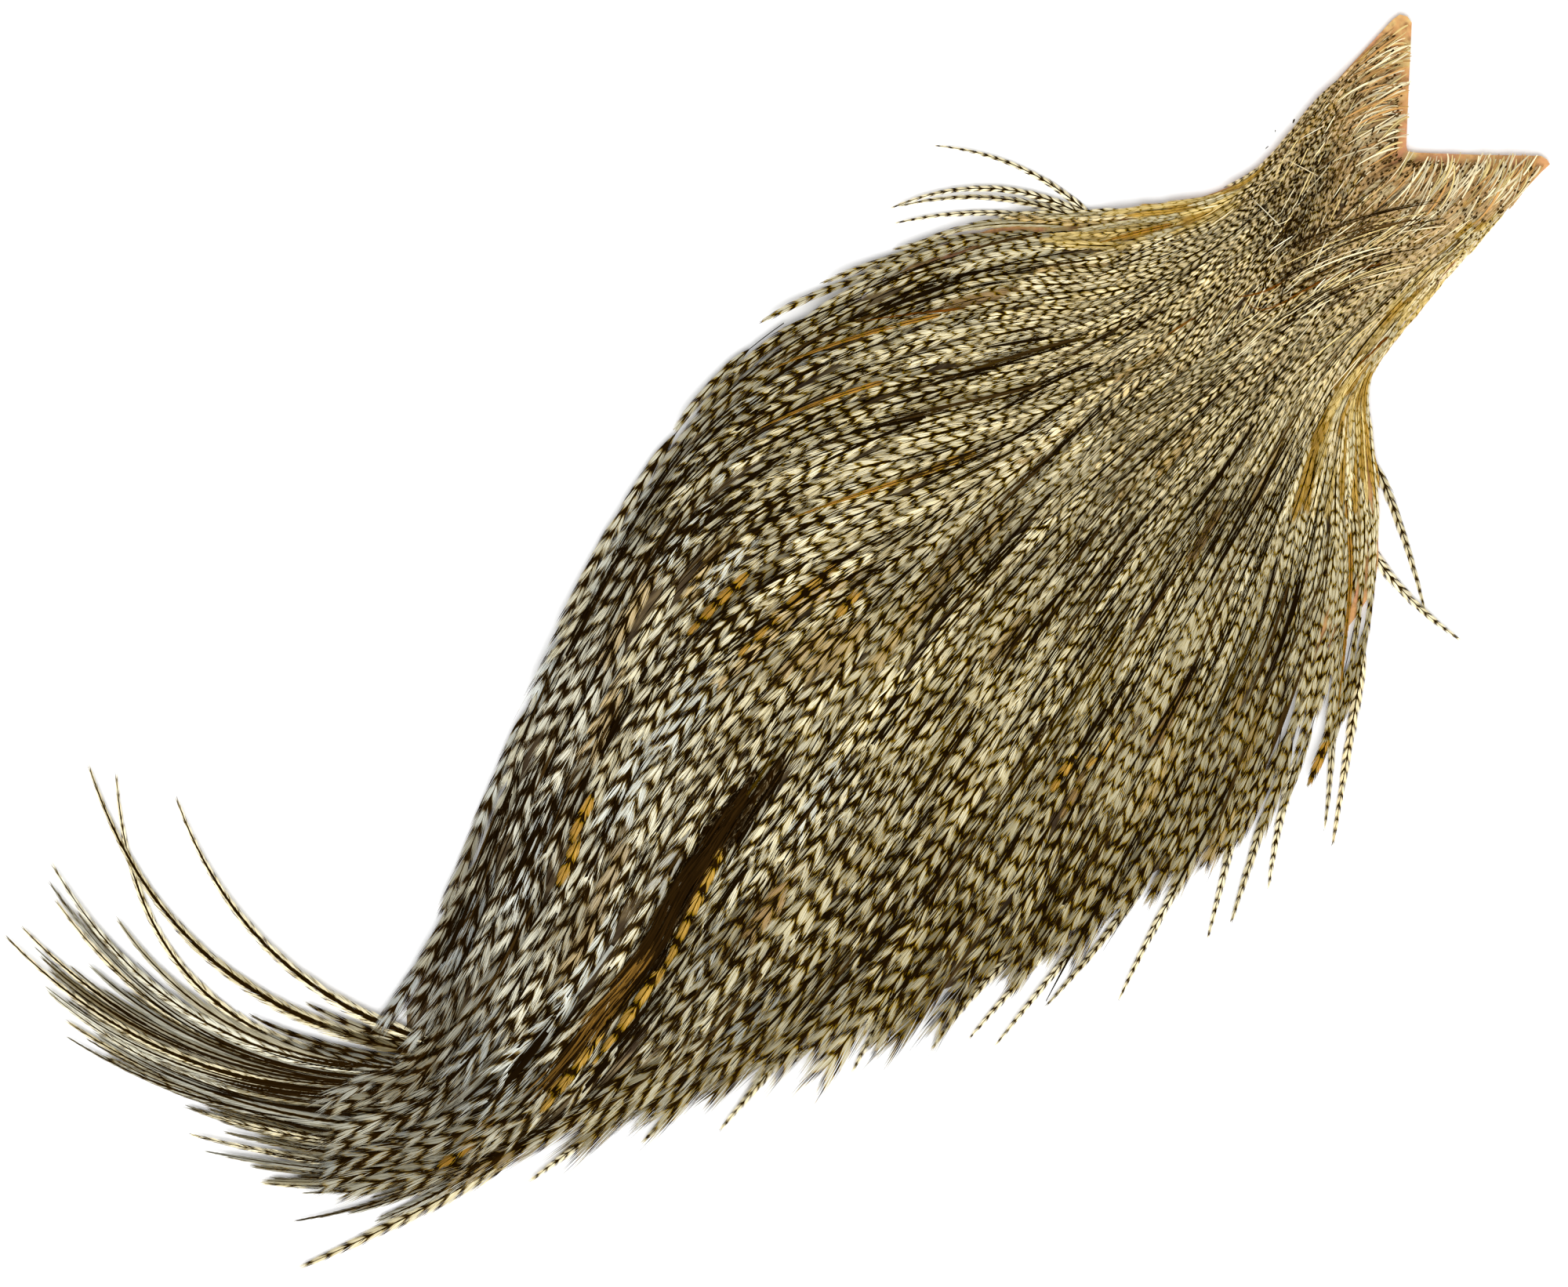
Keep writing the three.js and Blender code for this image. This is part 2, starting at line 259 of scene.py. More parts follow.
class Graph:
    """The node tree of one material."""

    def __init__(self, name: str) -> None:
        """Start an empty material.

        Args:
            name: The material's name.
        """
        self.material = bpy.data.materials.new(name)
        self.material.use_nodes = True
        self.tree = self.material.node_tree
        self.tree.nodes.clear()

    def node(self, kind: str, settings: dict[str, Any], sockets: dict[Any, Any]) -> bpy.types.Node:
        """Add a node.

        Args:
            kind: The node's type.
            settings: Properties to set first.
            sockets: Input name or number to a value, a Value or an output socket.

        Returns:
            The new node.
        """
        made = self.tree.nodes.new(kind)
        for key, value in settings.items():
            setattr(made, key, value)
        for key, value in sockets.items():
            if isinstance(value, Value):
                self.tree.links.new(value.socket, made.inputs[key])
            elif isinstance(value, bpy.types.NodeSocket):
                self.tree.links.new(value, made.inputs[key])
            else:
                made.inputs[key].default_value = value
        return made

    def math(self, operation: str, first: Any, second: Any) -> Value:
        """A Math node's result."""
        made = self.node("ShaderNodeMath", {"operation": operation}, {0: first, 1: second})
        return Value(self, made.outputs[0])

    def attribute(self, name: str) -> bpy.types.Node:
        """The node of a mesh attribute."""
        return self.node("ShaderNodeAttribute", {"attribute_name": name}, {})

    def number(self, name: str) -> Value:
        """A mesh attribute as a number."""
        return Value(self, self.attribute(name).outputs["Fac"])

    def step(self, value: Value, low: float, high: float, start: float = 0.0, end: float = 1.0) -> Value:
        """A smooth step from start to end as a value goes from low to high."""
        made = self.node("ShaderNodeMapRange", {"interpolation_type": "SMOOTHSTEP"},
                         {"Value": value, "From Min": low, "From Max": high, "To Min": start, "To Max": end})
        return Value(self, made.outputs["Result"])

    def noise(self, scale: float, detail: float, stretch: Sequence[float] = (1, 1, 1)) -> Value:
        """Noise in the object's own space."""
        place = self.node("ShaderNodeTexCoord", {}, {}).outputs["Object"]
        mapping = self.node("ShaderNodeMapping", {}, {"Vector": place, "Scale": tuple(stretch)})
        turned = mapping.outputs["Vector"]
        made = self.node("ShaderNodeTexNoise", {}, {"Vector": turned, "Scale": scale, "Detail": detail})
        return Value(self, made.outputs["Fac"])

    def mix(self, factor: Any, first: Any, second: Any, blend: str = "MIX") -> bpy.types.NodeSocket:
        """Two colours mixed."""
        colours = [v if isinstance(v, bpy.types.NodeSocket) else (*v, 1.0) for v in (first, second)]
        made = self.node("ShaderNodeMix", {"data_type": "RGBA", "blend_type": blend},
                         {0: factor, 6: colours[0], 7: colours[1]})
        return made.outputs[2]

    def scaled(self, colour: bpy.types.NodeSocket, factor: Value) -> bpy.types.NodeSocket:
        """A colour times a number."""
        made = self.node("ShaderNodeVectorMath", {"operation": "SCALE"}, {0: colour, "Scale": factor})
        return made.outputs[0]

    def surface(self, sockets: dict[str, Any]) -> bpy.types.Material:
        """Close the graph with a Principled surface.

        Args:
            sockets: The shader's input values and links.

        Returns:
            The finished material.
        """
        shader = self.node("ShaderNodeBsdfPrincipled", {}, sockets)
        self.node("ShaderNodeOutputMaterial", {}, {"Surface": shader.outputs[0]})
        return self.material


@dataclass(frozen=True)
class HackleFinish:
    """Barred hackle: pale patches between dark bars, a dark quill line, and barb ends darkened partly as
    dusky barbs and partly as painted shadow between hackles.
    """

    name: str = "barred_hackle"
    bar: Colour = linear(44, 26, 4)
    bar_shade: Colour = linear(13, 6, 0)
    rust: Colour = linear(146, 114, 14)
    dusk: Colour = linear(120, 104, 74)
    gold: Colour = (0.88, 0.73, 0.25)
    ash: Colour = (0.92, 0.88, 0.78)
    roughness: float = 0.55

    def make(self) -> bpy.types.Material:
        """The material, which reads the attributes that each hackle carries."""
        graph = Graph(self.name)
        streak = graph.number("streak")
        reach = graph.number("reach")
        tint = graph.attribute("tint").outputs["Color"]
        grain = graph.noise(520, 2)
        phase = graph.number("bar") + (grain - 0.5) * 0.2
        off = abs(graph.math("FRACT", phase, 0.0) - 0.5) * 2
        side = reach * 2 - 1
        lit = graph.step(off + side * side * 0.25 - graph.number("light"), 0.26, -0.22)
        inner = graph.step(reach - graph.number("core"), 0.0, 0.14)
        # Barb ends darkened: partly their own dusky colour, partly painted shadow between neighbouring
        # hackles.
        barb_end_dark_and_shadow = graph.step(reach + graph.number("rim"), 0.95, 1.3, 1.0, 0.2)
        pale = lit * inner * barb_end_dark_and_shadow
        warm = graph.number("warm")
        deep = graph.mix(1.0, tint, graph.mix(warm, self.ash, self.gold), "MULTIPLY")
        light = graph.mix(graph.step(pale, 0.5, 0.98) * (0.62 + streak * 0.38), deep, tint)
        # Painted shade: each pale patch is lighter in its middle and darker towards the bars.
        light = graph.scaled(light, (0.72 + streak * 0.34) * (1.16 - off * 0.3))
        dark = graph.mix(streak, self.bar_shade, self.bar)
        dusky = graph.mix(graph.step(pale, 0.03, 0.45), dark, graph.mix(warm, self.dusk, self.rust))
        colour = graph.mix(graph.step(pale, 0.3, 0.95), dusky, light)
        return graph.surface({"Base Color": colour, "Roughness": self.roughness, "Specular IOR Level": 0.0})


@dataclass(frozen=True)
class HideFinish:
    """Dry tanned skin: pinkish tan, yellower in places, with pores and a fine grain."""

    name: str = "hide"
    tan: Colour = linear(206, 152, 94)
    pink: Colour = linear(208, 146, 104)
    yellow: Colour = linear(214, 184, 118)
    brown: Colour = linear(150, 106, 60)

    def make(self) -> bpy.types.Material:
        """The material, on object coordinates."""
        graph = Graph(self.name)
        broad = graph.step(graph.noise(170, 4), 0.46, 0.68)
        patch = graph.step(graph.noise(240, 3, (1, 0.6, 1)), 0.5, 0.66)
        fine = graph.noise(900, 4)
        base = graph.mix(broad, self.tan, self.pink)
        base = graph.mix(patch, base, self.yellow)
        base = graph.mix(graph.step(graph.noise(420, 3), 0.5, 0.74, 0.0, 0.8), base, self.brown)
        colour = graph.scaled(base, 0.72 + fine * 0.5)
        place = graph.node("ShaderNodeTexCoord", {}, {}).outputs["Object"]
        pore = graph.node("ShaderNodeTexVoronoi", {"feature": "F1"}, {"Vector": place, "Scale": 520.0})
        relief = Value(graph, pore.outputs["Distance"]) * 0.6 + fine * 0.4
        bump = graph.node("ShaderNodeBump", {}, {"Height": relief, "Strength": 0.5, "Distance": 0.0003})
        return graph.surface({"Base Color": colour, "Roughness": 0.62, "Specular IOR Level": 0.3,
                              "Normal": bump.outputs[0]})


@dataclass(frozen=True)
class DownFinish:
    """The dusky down under the hackles, streaked along the flow."""

    name: str = "under_down"
    dusk: Colour = linear(78, 58, 32)
    ash: Colour = linear(150, 128, 88)

    def make(self) -> bpy.types.Material:
        """The material, on object coordinates."""
        graph = Graph(self.name)
        tuft = graph.noise(420, 4, (1, 0.12, 1))
        colour = graph.mix(graph.step(tuft, 0.4, 0.7), self.dusk, self.ash)
        bump = graph.node("ShaderNodeBump", {}, {"Height": tuft, "Strength": 0.6, "Distance": 0.0006})
        return graph.surface({"Base Color": colour, "Roughness": 0.85, "Normal": bump.outputs[0]})


class Tint(Enum):
    """The pale colour of a hackle's patches."""

    CREAM = linear(252, 243, 210)
    WARM = linear(247, 232, 190)
    WHITE = linear(240, 238, 220)
    PEARL = linear(226, 233, 232)
    TAN = linear(223, 213, 177)
    STRAW = linear(230, 206, 140)
    FAWN = linear(202, 154, 92)
    GOLD = linear(196, 158, 78)
    AMBER = linear(164, 120, 50)
    GREY = linear(174, 168, 146)
    ORANGE = linear(118, 66, 20)
    ASH = linear(156, 144, 110)
    BROWN = linear(98, 72, 34)
    UMBER = linear(70, 50, 20)
    DARK = linear(30, 18, 4)


@dataclass
class Hackle:
    """One feather: its spine from root to tip, in mm, and how it is dressed."""

    spine: np.ndarray
    phase: np.ndarray
    half: float
    period: float
    tint: Colour
    gap: float = 0.55
    sweep: Pair = (26.0, 13.0)
    arch: float = 0.5
    taper: float = 0.45
    core: float = 0.02
    # rim: how far in from the barb ends the darkening reaches, partly dusky barbs and partly painted shadow
    # between hackles.
    rim: float = 0.1
    warm: float = 0.0
    quill: float = 0.28
    pale_quill: bool = False
    slant: float = 2.0
    split: float = 0.0
    light: float = 0.6
    fine: bool = False
    bare: float = 0.0
    ragged: float = 0.07


@dataclass
class Course:
    """A hackle's spine, read by the distance from its root in mm."""

    spine: np.ndarray

    def __post_init__(self) -> None:
        """Measure the spine and find its directions."""
        self.run = lengths_along(self.spine)
        self.whole = self.run[-1]
        self.slope = np.gradient(self.spine, self.run, axis=0)

    def at(self, x: np.ndarray) -> tuple[np.ndarray, np.ndarray, np.ndarray]:
        """Read the spine, which goes on straight past its tip.

        Args:
            x: Distances from the root.

        Returns:
            Points, unit directions to the tip and unit directions to the left.
        """
        over = np.maximum(x - self.whole, 0)[:, None]
        point = np.stack([np.interp(x, self.run, self.spine[:, k]) for k in range(3)], axis=1)
        way = np.stack([np.interp(x, self.run, self.slope[:, k]) for k in range(2)], axis=1)
        way /= np.linalg.norm(way, axis=1)[:, None]
        return point + over * self.slope[-1], way, np.column_stack([-way[:, 1], way[:, 0]])


# Where a barb is cut: how far along it, how far out from the quill, and how wide it is there.
FULL_CUTS = ((0, 0, 1.0), (0.38, 0.5, 1.1), (0.74, 0.84, 0.95), (1, 1, 0))
FINE_CUTS = ((0, 0, 1.0), (0.45, 0.56, 0.95), (1, 1, 0))

# What the finish reads at each point of a hackle, besides its tint.
HACKLE_VALUES = ("bar", "reach", "streak", "core", "rim", "warm", "light")


@dataclass
class HackleMesh:
    """Many hackles joined in one mesh of quills and barbs, with the values that the finish reads."""

    seed: int
    points: list[np.ndarray] = field(default_factory=list)
    faces: list[np.ndarray] = field(default_factory=list)
    cells: list[np.ndarray] = field(default_factory=list)
    owners: list[np.ndarray] = field(default_factory=list)
    tints: list[np.ndarray] = field(default_factory=list)
    values: dict[str, list[np.ndarray]] = field(default_factory=lambda: {key: [] for key in HACKLE_VALUES})
    total: int = 0
    count: int = 0

    def __post_init__(self) -> None:
        """Seed the small differences between barbs."""
        self.random = np.random.default_rng(self.seed)

    def _store(self, hackle: Hackle, points: np.ndarray, faces: np.ndarray, cell: np.ndarray,
               bar: np.ndarray, reach: np.ndarray, streak: np.ndarray) -> None:
        """Add some points and faces of one hackle."""
        size = len(points)
        self.points.append(points)
        self.faces.append(faces + self.total)
        self.cells.append(cell)
        for key, value in (("bar", bar), ("reach", reach), ("streak", streak)):
            self.values[key].append(value)
        for key in ("core", "rim", "warm", "light"):
            self.values[key].append(np.full(size, getattr(hackle, key)))
        self.owners.append(np.full(size, self.count))
        self.tints.append(np.tile(np.array((*hackle.tint, 1.0)), (size, 1)))
        self.total += size

    def add(self, hackle: Hackle) -> None:
        """Mesh one hackle: two rows of barbs that sweep to the tip, and the quill on top.

        Args:
            hackle: The feather to add.
        """
        course = Course(hackle.spine)
        for side in (1, -1):
            self._barbs(hackle, course, side)
        self._quill(hackle, course)
        self.count += 1

    def _barbs(self, hackle: Hackle, course: Course, side: int) -> None:
        """Add the barbs of one side: 1 for the left, -1 for the right."""
        whole = course.whole
        number = max(6, int(whole * (1 - hackle.bare) / hackle.gap))
        step = whole * (1 - hackle.bare) / number
        x = whole * hackle.bare + (np.arange(number) + 0.5) * step
        u = x / whole
        near_tip = np.clip((1 - u) / hackle.taper, 0, 1)
        half = hackle.half * (0.12 + 0.88 * near_tip ** 0.8)
        turn = np.radians(hackle.sweep[0] + (hackle.sweep[1] - hackle.sweep[0]) * u)
        wobble = self.random.normal(0, 1, (3, number))
        width = half * (1 + 0.10 * wobble[1])
        along = width / np.tan(turn * (1 + 0.10 * wobble[0]))
        streak = self.random.random(number)
        tilt = 0.10 + 0.03 * self.random.normal(0, 1, number)
        shift = hackle.ragged * wobble[2] + (hackle.split if side < 0 else 0)
        points, cell, bar, reach = [], [], [], []
        for far, out, wide in FINE_CUTS if hackle.fine else FULL_CUTS:
            where = x + along * far
            place, way, left = course.at(where)
            lateral = width * out
            place[:, :2] += side * left * lateral[:, None]
            place[:, 2] -= hackle.arch * (lateral / hackle.half) ** 2
            phase = np.interp(where, course.run, hackle.phase) + np.maximum(where - whole, 0) / hackle.period
            phase = phase - hackle.slant * lateral / hackle.period + shift
            for edge in ((-1, 1) if wide else (0,)):
                move = edge * 0.72 * step * wide
                moved = place.copy()
                moved[:, :2] += way * move
                moved[:, 2] += edge * tilt * 0.5 * step
                points.append(moved)
                cell.append(np.column_stack([(np.arange(number) + 0.5 + 0.5 * edge) / number,
                                             np.full(number, 0.5 + side * (0.04 + 0.46 * far))]))
                bar.append(phase + move / hackle.period)
                reach.append(np.full(number, float(out)))
        per = len(points)
        corners = []
        for k in range(0, per - 3, 2):
            corners += [(k, k + 1, k + 3), (k, k + 3, k + 2)]
        corners.append((per - 3, per - 2, per - 1))
        if side < 0:
            corners = [(a, c, b) for a, b, c in corners]
        first = np.arange(number)[:, None] * per
        faces = np.concatenate([first + np.array(corner) for corner in corners])
        self._store(hackle, np.stack(points, axis=1).reshape(-1, 3), faces,
                    np.stack(cell, axis=1).reshape(-1, 2), np.stack(bar, axis=1).ravel(),
                    np.stack(reach, axis=1).ravel(), np.repeat(streak, per))

    def _ribbon(self, hackle: Hackle, line: np.ndarray, left: np.ndarray, half: np.ndarray, lane: float,
                bar: float, reach: float, streak: float) -> None:
        """Add a plain strip.

        Args:
            hackle: What gives it its colours.
            line: Its middle, in mm.
            left: Unit directions to its left.
            half: Its half width at each point.
            lane: Its half width on the hackle's part of the UV map.
            bar: Its place among the bars.
            reach: Its distance from the quill.
            streak: How pale it is, 0 to 1.
        """
        number = len(line)
        u = np.linspace(0, 1, number)
        points, cell = [], []
        for side in (1, -1):
            place = line.copy()
            place[:, :2] += side * left * half[:, None]
            points.append(place)
            cell.append(np.column_stack([u, np.full(number, 0.5 + side * lane)]))
        k = np.arange(number - 1)
        faces = np.concatenate([np.column_stack([k + number, k + number + 1, k]),
                                np.column_stack([k, k + number + 1, k + 1])])
        size = 2 * number
        self._store(hackle, np.vstack(points), faces, np.vstack(cell), np.full(size, bar),
                    np.full(size, reach), np.full(size, streak))

    def _quill(self, hackle: Hackle, course: Course) -> None:
        """Add the quill as a strip that narrows to the tip."""
        x = np.linspace(0, course.whole, 6 if hackle.fine else 11)
        line, _, left = course.at(x)
        line[:, 2] += 0.05
        half = 0.5 * hackle.quill * (1 - 0.8 * x / course.whole)
        bar, reach = (0.5, 0.45) if hackle.pale_quill else (0.0, 0.0)
        self._ribbon(hackle, line, left, half, 0.025, bar, reach, 0.5)

    def hair(self, line: np.ndarray, width: float, tint: Colour, streak: float) -> None:
        """Add one hair, a thin strip that narrows to both ends.

        Args:
            line: Its points, in mm.
            width: Its greatest width.
            tint: Its colour.
            streak: How pale it is, 0 to 1.
        """
        way = np.gradient(line[:, :2], axis=0)
        way /= np.linalg.norm(way, axis=1)[:, None]
        left = np.column_stack([-way[:, 1], way[:, 0]])
        u = np.linspace(0, 1, len(line))
        half = 0.5 * width * (0.25 + 0.75 * np.sin(np.pi * (0.15 + 0.85 * u)))
        plain = Hackle(line, u, width, 1.0, tint, core=-1.0, light=2.0)
        self._ribbon(plain, line, left, half, 0.5, 0.5, 0.3, streak)
        self.count += 1

    def finish(self, name: str) -> bpy.types.Object:
        """Make the object.

        Args:
            name: The piece's name.

        Returns:
            The piece, at the origin.
        """
        points = np.vstack(self.points) * MM
        faces = np.vstack(self.faces)
        mesh = bpy.data.meshes.new(name)
        mesh.vertices.add(len(points))
        mesh.vertices.foreach_set("co", points.ravel())
        mesh.loops.add(faces.size)
        mesh.loops.foreach_set("vertex_index", faces.ravel().astype(np.int32))
        mesh.polygons.add(len(faces))
        mesh.polygons.foreach_set("loop_start", np.arange(0, faces.size, 3, dtype=np.int32))
        mesh.update(calc_edges=True)
        for key in HACKLE_VALUES:
            layer = mesh.attributes.new(key, "FLOAT", "POINT")
            layer.data.foreach_set("value", np.concatenate(self.values[key]).astype(np.float32))
        layer = mesh.attributes.new("tint", "FLOAT_COLOR", "POINT")
        layer.data.foreach_set("color", np.vstack(self.tints).astype(np.float32).ravel())
        owner = np.concatenate(self.owners)
        across = max(1, round(math.sqrt(self.count / 5)))
        down = math.ceil(self.count / across)
        corner = np.column_stack([owner % across / across, owner // across / down])
        cell = corner + (0.03 + 0.94 * np.vstack(self.cells)) / np.array([across, down])
        layer = mesh.uv_layers.new(name="OFBake")
        layer.data.foreach_set("uv", cell[faces.ravel()].astype(np.float32).ravel())
        mesh.shade_smooth()
        piece = bpy.data.objects.new(name, mesh)
        bpy.context.collection.objects.link(piece)
        return piece


@dataclass
class Assembly:
    """Pieces of the cape that are built and dressed together."""

    slot: ClassVar[str] = "barred_hackle"
    pieces: list[bpy.types.Object] = field(default_factory=list, init=False)

    def dress(self, material: bpy.types.Material) -> None:
        """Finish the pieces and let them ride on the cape's one body.

        Args:
            material: Their finish.
        """
        for piece in self.pieces:
            piece.data.materials.append(material)
            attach(piece, BODY)
            log.info("%s: %d faces", piece.name, len(piece.data.polygons))


class Tract(Enum):
    """The parts of the coat, each one piece."""

    HEAD = "head_hackles"
    NECK = "neck_hackles"
    LEFT = "left_hackles"
    MIDDLE = "middle_hackles"
    RIGHT = "right_hackles"
    LOWER = "lower_hackles"


# Shares of hackles that take an odd tint: up to this draw, this much of this colour.
ODD_TINTS: tuple[tuple[float, float, Tint], ...] = (
    (0.004, 0.8, Tint.AMBER), (0.01, 0.4, Tint.BROWN), (0.1, 0.7, Tint.ASH),
    (0.23, 0.6, Tint.TAN), (0.265, 0.65, Tint.GOLD), (0.34, 0.5, Tint.WHITE))

# The odd tints that only the lower half of the coat has.
LOW_TINTS: tuple[Tint, ...] = (Tint.ASH, Tint.WHITE, Tint.BROWN)


@dataclass
class Coat(Assembly):
    """The hackles that grow all over the hide, small at the notch and long at the hem.

    Its tables and most of its ramps go by the distance from the notch, in mm.
    """

    flow: Flow
    mound: Mound
    seed: int = 7
    crowding: float = 0.62
    low_start: float = 175.0
    head_end: float = 58.0
    neck_end: float = 112.0
    lower_start: float = 232.0
    left_end: float = 0.36
    middle_end: float = 0.62
    away: tuple[float, ...] = (0, 25, 45, 60, 80, 100, 130, 200, 260, 330)
    spread: tuple[float, ...] = (0.85, 0.9, 1.0, 1.1, 1.2, 1.4, 1.8, 2.8, 3.8, 3.5)
    stagger: tuple[float, ...] = (3.2, 4.2, 6.5, 9.5, 13, 16, 18, 18, 17, 16)
    lengths: tuple[float, ...] = (7, 9, 13, 18, 24, 29, 33, 36, 40, 42)
    halves: tuple[float, ...] = (0.5, 0.56, 0.68, 0.78, 0.9, 1.05, 1.32, 1.9, 2.5, 2.1)
    periods: tuple[float, ...] = (1.7, 1.7, 1.9, 2.3, 2.8, 3.3, 4.1, 5.6, 6.4, 5.9)
    slants: tuple[float, ...] = (0.6, 0.6, 0.8, 1.1, 1.3, 1.4, 1.5, 1.7, 2.0, 2.0)
    gaps: tuple[float, ...] = (0.42, 0.42, 0.46, 0.5, 0.56, 0.58, 0.6, 0.62, 0.64, 0.64)
    depths: tuple[float, ...] = (0.7, 0.8, 1.2, 1.6, 2.2, 2.8, 3.2, 4.2, 4.2, 3.6)
    floors: tuple[float, ...] = (1.5, 1.5, 1.5, 1.5, 1.5, 1.3, 0.9, 0.5, 0.4, 0.4)
    # Across the coat, from its left edge to its right, or from either edge inwards.
    shoulder_turn: Ramp = Ramp((0, 0.08, 0.17, 0.33, 0.44), (0, 5, 11, 19, 0))
    ear_turn: Ramp = Ramp((0, 0.1, 0.3, 0.43, 0.51, 0.7, 0.92, 1), (0, -9, -18, -22, 18, 24, 16, 3))
    bald: Ramp = Ramp((0, 0.14), (2.0, 8.5))
    slim: Ramp = Ramp((0, 0.06), (0.5, 1))
    # Along the coat.
    shoulder: Ramp = Ramp((70, 95, 165, 215), (0, 1, 1, 0))
    ear: Ramp = Ramp((5, 18, 45, 100), (0.3, 1, 1, 0))
    fawn: Ramp = Ramp((6, 25, 60), (0.85, 0.5, 0))
    # Painted shade along the left edge, by the distance from the notch.
    left_edge_shade: Ramp = Ramp((104, 106, 190, 240), (0, 1, 1, 0.3))
    left_side: Ramp = Ramp((80, 100, 180, 210), (0, 1, 1, 0))
    # How strongly the painted shade of the furrows shows, by the distance from the notch.
    furrow: Ramp = Ramp((60, 130), (0.4, 1))
    level: Ramp = Ramp((40, 65, 100, 125, 200, 230), (0.95, 1.02, 0.98, 0.97, 1.02, 1.14))
    lock_rise: Ramp = Ramp((60, 130), (0.7, 1.7))
    loose_bars: Ramp = Ramp((60, 130, 200), (0.24, 0.2, 0.05))
    wavy_bars: Ramp = Ramp((150, 230), (1, 0.3))
    split: Ramp = Ramp((40, 130, 220), (0.3, 0.2, 0.05))
    core: Ramp = Ramp((20, 60, 170, 240), (0.1, 1, 1, 0.25))
    core_loss: Ramp = Ramp((20, 50), (0.15, 0))
    pale_share: Ramp = Ramp((8, 22, 45, 60, 90, 130, 200), (1.2, 0.66, 0.52, 0.64, 0.77, 0.76, 0.61))
    pale_quill: Ramp = Ramp((90, 140), (0.6, 0.08))
    bare: Ramp = Ramp((90, 130), (0.08, 0.28))

    def __post_init__(self) -> None:
        """Seed the coat and add up its bars from head to hem."""
        self.random = np.random.default_rng(self.seed)
        self.ridges = self.random.random((8, 46))
        self.waves = self.random.random((18, 20))
        self.steps = np.linspace(-10, 345, 720)
        rate = 1 / self.grade(self.periods, self.steps)
        self.bars = np.concatenate([[0], np.cumsum(0.5 * (rate[1:] + rate[:-1]) * np.diff(self.steps))])

    def grade(self, table: Sequence[float], distance: Any) -> Any:
        """A size that changes with the distance from the notch."""
        return np.interp(distance, self.away, table)

    def blend(self, table: np.ndarray, s: Any, t: Any) -> Any:
        """A value between those of a coarse table laid over the coat."""
        x = np.clip(s, 0, 1) * (table.shape[1] - 1.001)
        y = np.clip(t, 0, 1) * (table.shape[0] - 1.001)
        i, j = np.floor(y).astype(int), np.floor(x).astype(int)
        fx, fy = x - j, y - i
        fx = fx * fx * (3 - 2 * fx)
        near = table[i, j] * (1 - fx) + table[i, j + 1] * fx
        far = table[i + 1, j] * (1 - fx) + table[i + 1, j + 1] * fx
        return near * (1 - fy) + far * fy

    def ridge(self, s: Any, t: Any) -> Any:
        """How far a place stands up on a lock of hackles: 0 in a furrow, 1 on a ridge."""
        return self.blend(self.ridges, s, t)

    def drift(self, s: Any, t: Any, length: Any) -> Any:
        """How far a hackle drifts to the left over a length, as a change of s.

        Those of the left shoulder drift out to the edge; those of the ears drift in to the crown.
        """
        distance = t * self.flow.length(s)
        turn = self.shoulder_turn(s) * self.shoulder(distance)
        turn = np.radians(turn + self.ear_turn(s) * self.ear(distance))
        return np.tan(turn) * length / self.flow.width(s, t)

    def follow(self, s: float, t: np.ndarray, stray: float) -> np.ndarray:
        """Places across of a hair that runs with the hackles and strays by a change of s."""
        drift = float(self.drift(s, t[0], (t[-1] - t[0]) * float(self.flow.length(s))))
        return s + np.linspace(0, stray - drift, len(t))

    def lay(self, s: np.ndarray, t: np.ndarray, lift: Any, locks: float = 0.0,
            floor: float = 0.0) -> np.ndarray:
        """A line that lies on the coat.

        Args:
            s: Places across.
            t: Places along.
            lift: How far it lies above the coat, in mm.
            locks: How far it goes up and down with the locks, in mm.
            floor: The least height of the coat under it, in mm.

        Returns:
            Its points, in mm.
        """
        z = np.maximum(self.mound.height(s, t), floor) + (self.ridge(s, t) - 0.5) * locks + lift
        return np.column_stack([self.flow.plan(s, t), z])

    def drape(self, line: np.ndarray, lift: Any, floor: float = 0.0) -> np.ndarray:
        """A line in plan, raised onto the coat as in lay."""
        s, t = self.flow.locate(line)
        return np.column_stack([line, np.maximum(self.mound.height(s, t), floor) + lift])

    def scatter(self, tries: int = 110000) -> np.ndarray:
        """Spread the tips so that none crowds another.

        Args:
            tries: How many places to try.

        Returns:
            One s, t pair per hackle.
        """
        s = self.random.uniform(0.004, 0.996, tries)
        t = self.random.uniform(0.02, 1.015, tries)
        plan = self.flow.plan(s, t)
        along = self.flow.plan(s - self.drift(s, t, 1.0), t + 1.0 / self.flow.length(s)) - plan
        along /= np.linalg.norm(along, axis=1)[:, None]
        distance = t * self.flow.length(s)
        spread = self.grade(self.spread, distance)
        stagger = self.grade(self.stagger, distance)
        weight = self.flow.width(s, t, 0.004) * self.flow.length(s) / (spread * stagger)
        keep = self.random.random(tries) < weight / np.percentile(weight, 97)
        keep &= distance > self.bald(np.minimum(s, 1 - s)) * self.random.uniform(0.7, 1.7, tries)
        kept: list[int] = []
        taken = np.zeros((tries, 2))
        for i in np.flatnonzero(keep):
            if kept:
                gap = taken[:len(kept)] - plan[i]
                run = gap @ along[i] / stagger[i]
                side = (gap[:, 0] * along[i, 1] - gap[:, 1] * along[i, 0]) / spread[i]
                if np.min(run * run + side * side) < self.crowding:
                    continue
            taken[len(kept)] = plan[i]
            kept.append(i)
        return np.column_stack([s[kept], t[kept]])

    def straw(self, s: float, distance: float) -> bool:
        """Whether a place is in the plain straw edge of the head and neck."""
        return (s < 0.1 and 52 < distance < 92) or (s > 0.9 and 18 < distance < 92)

    def left(self, s: float) -> float:
        """How far a place belongs to the cool left side."""
        return float(np.clip(1.15 - 1.5 * s, 0, 1))

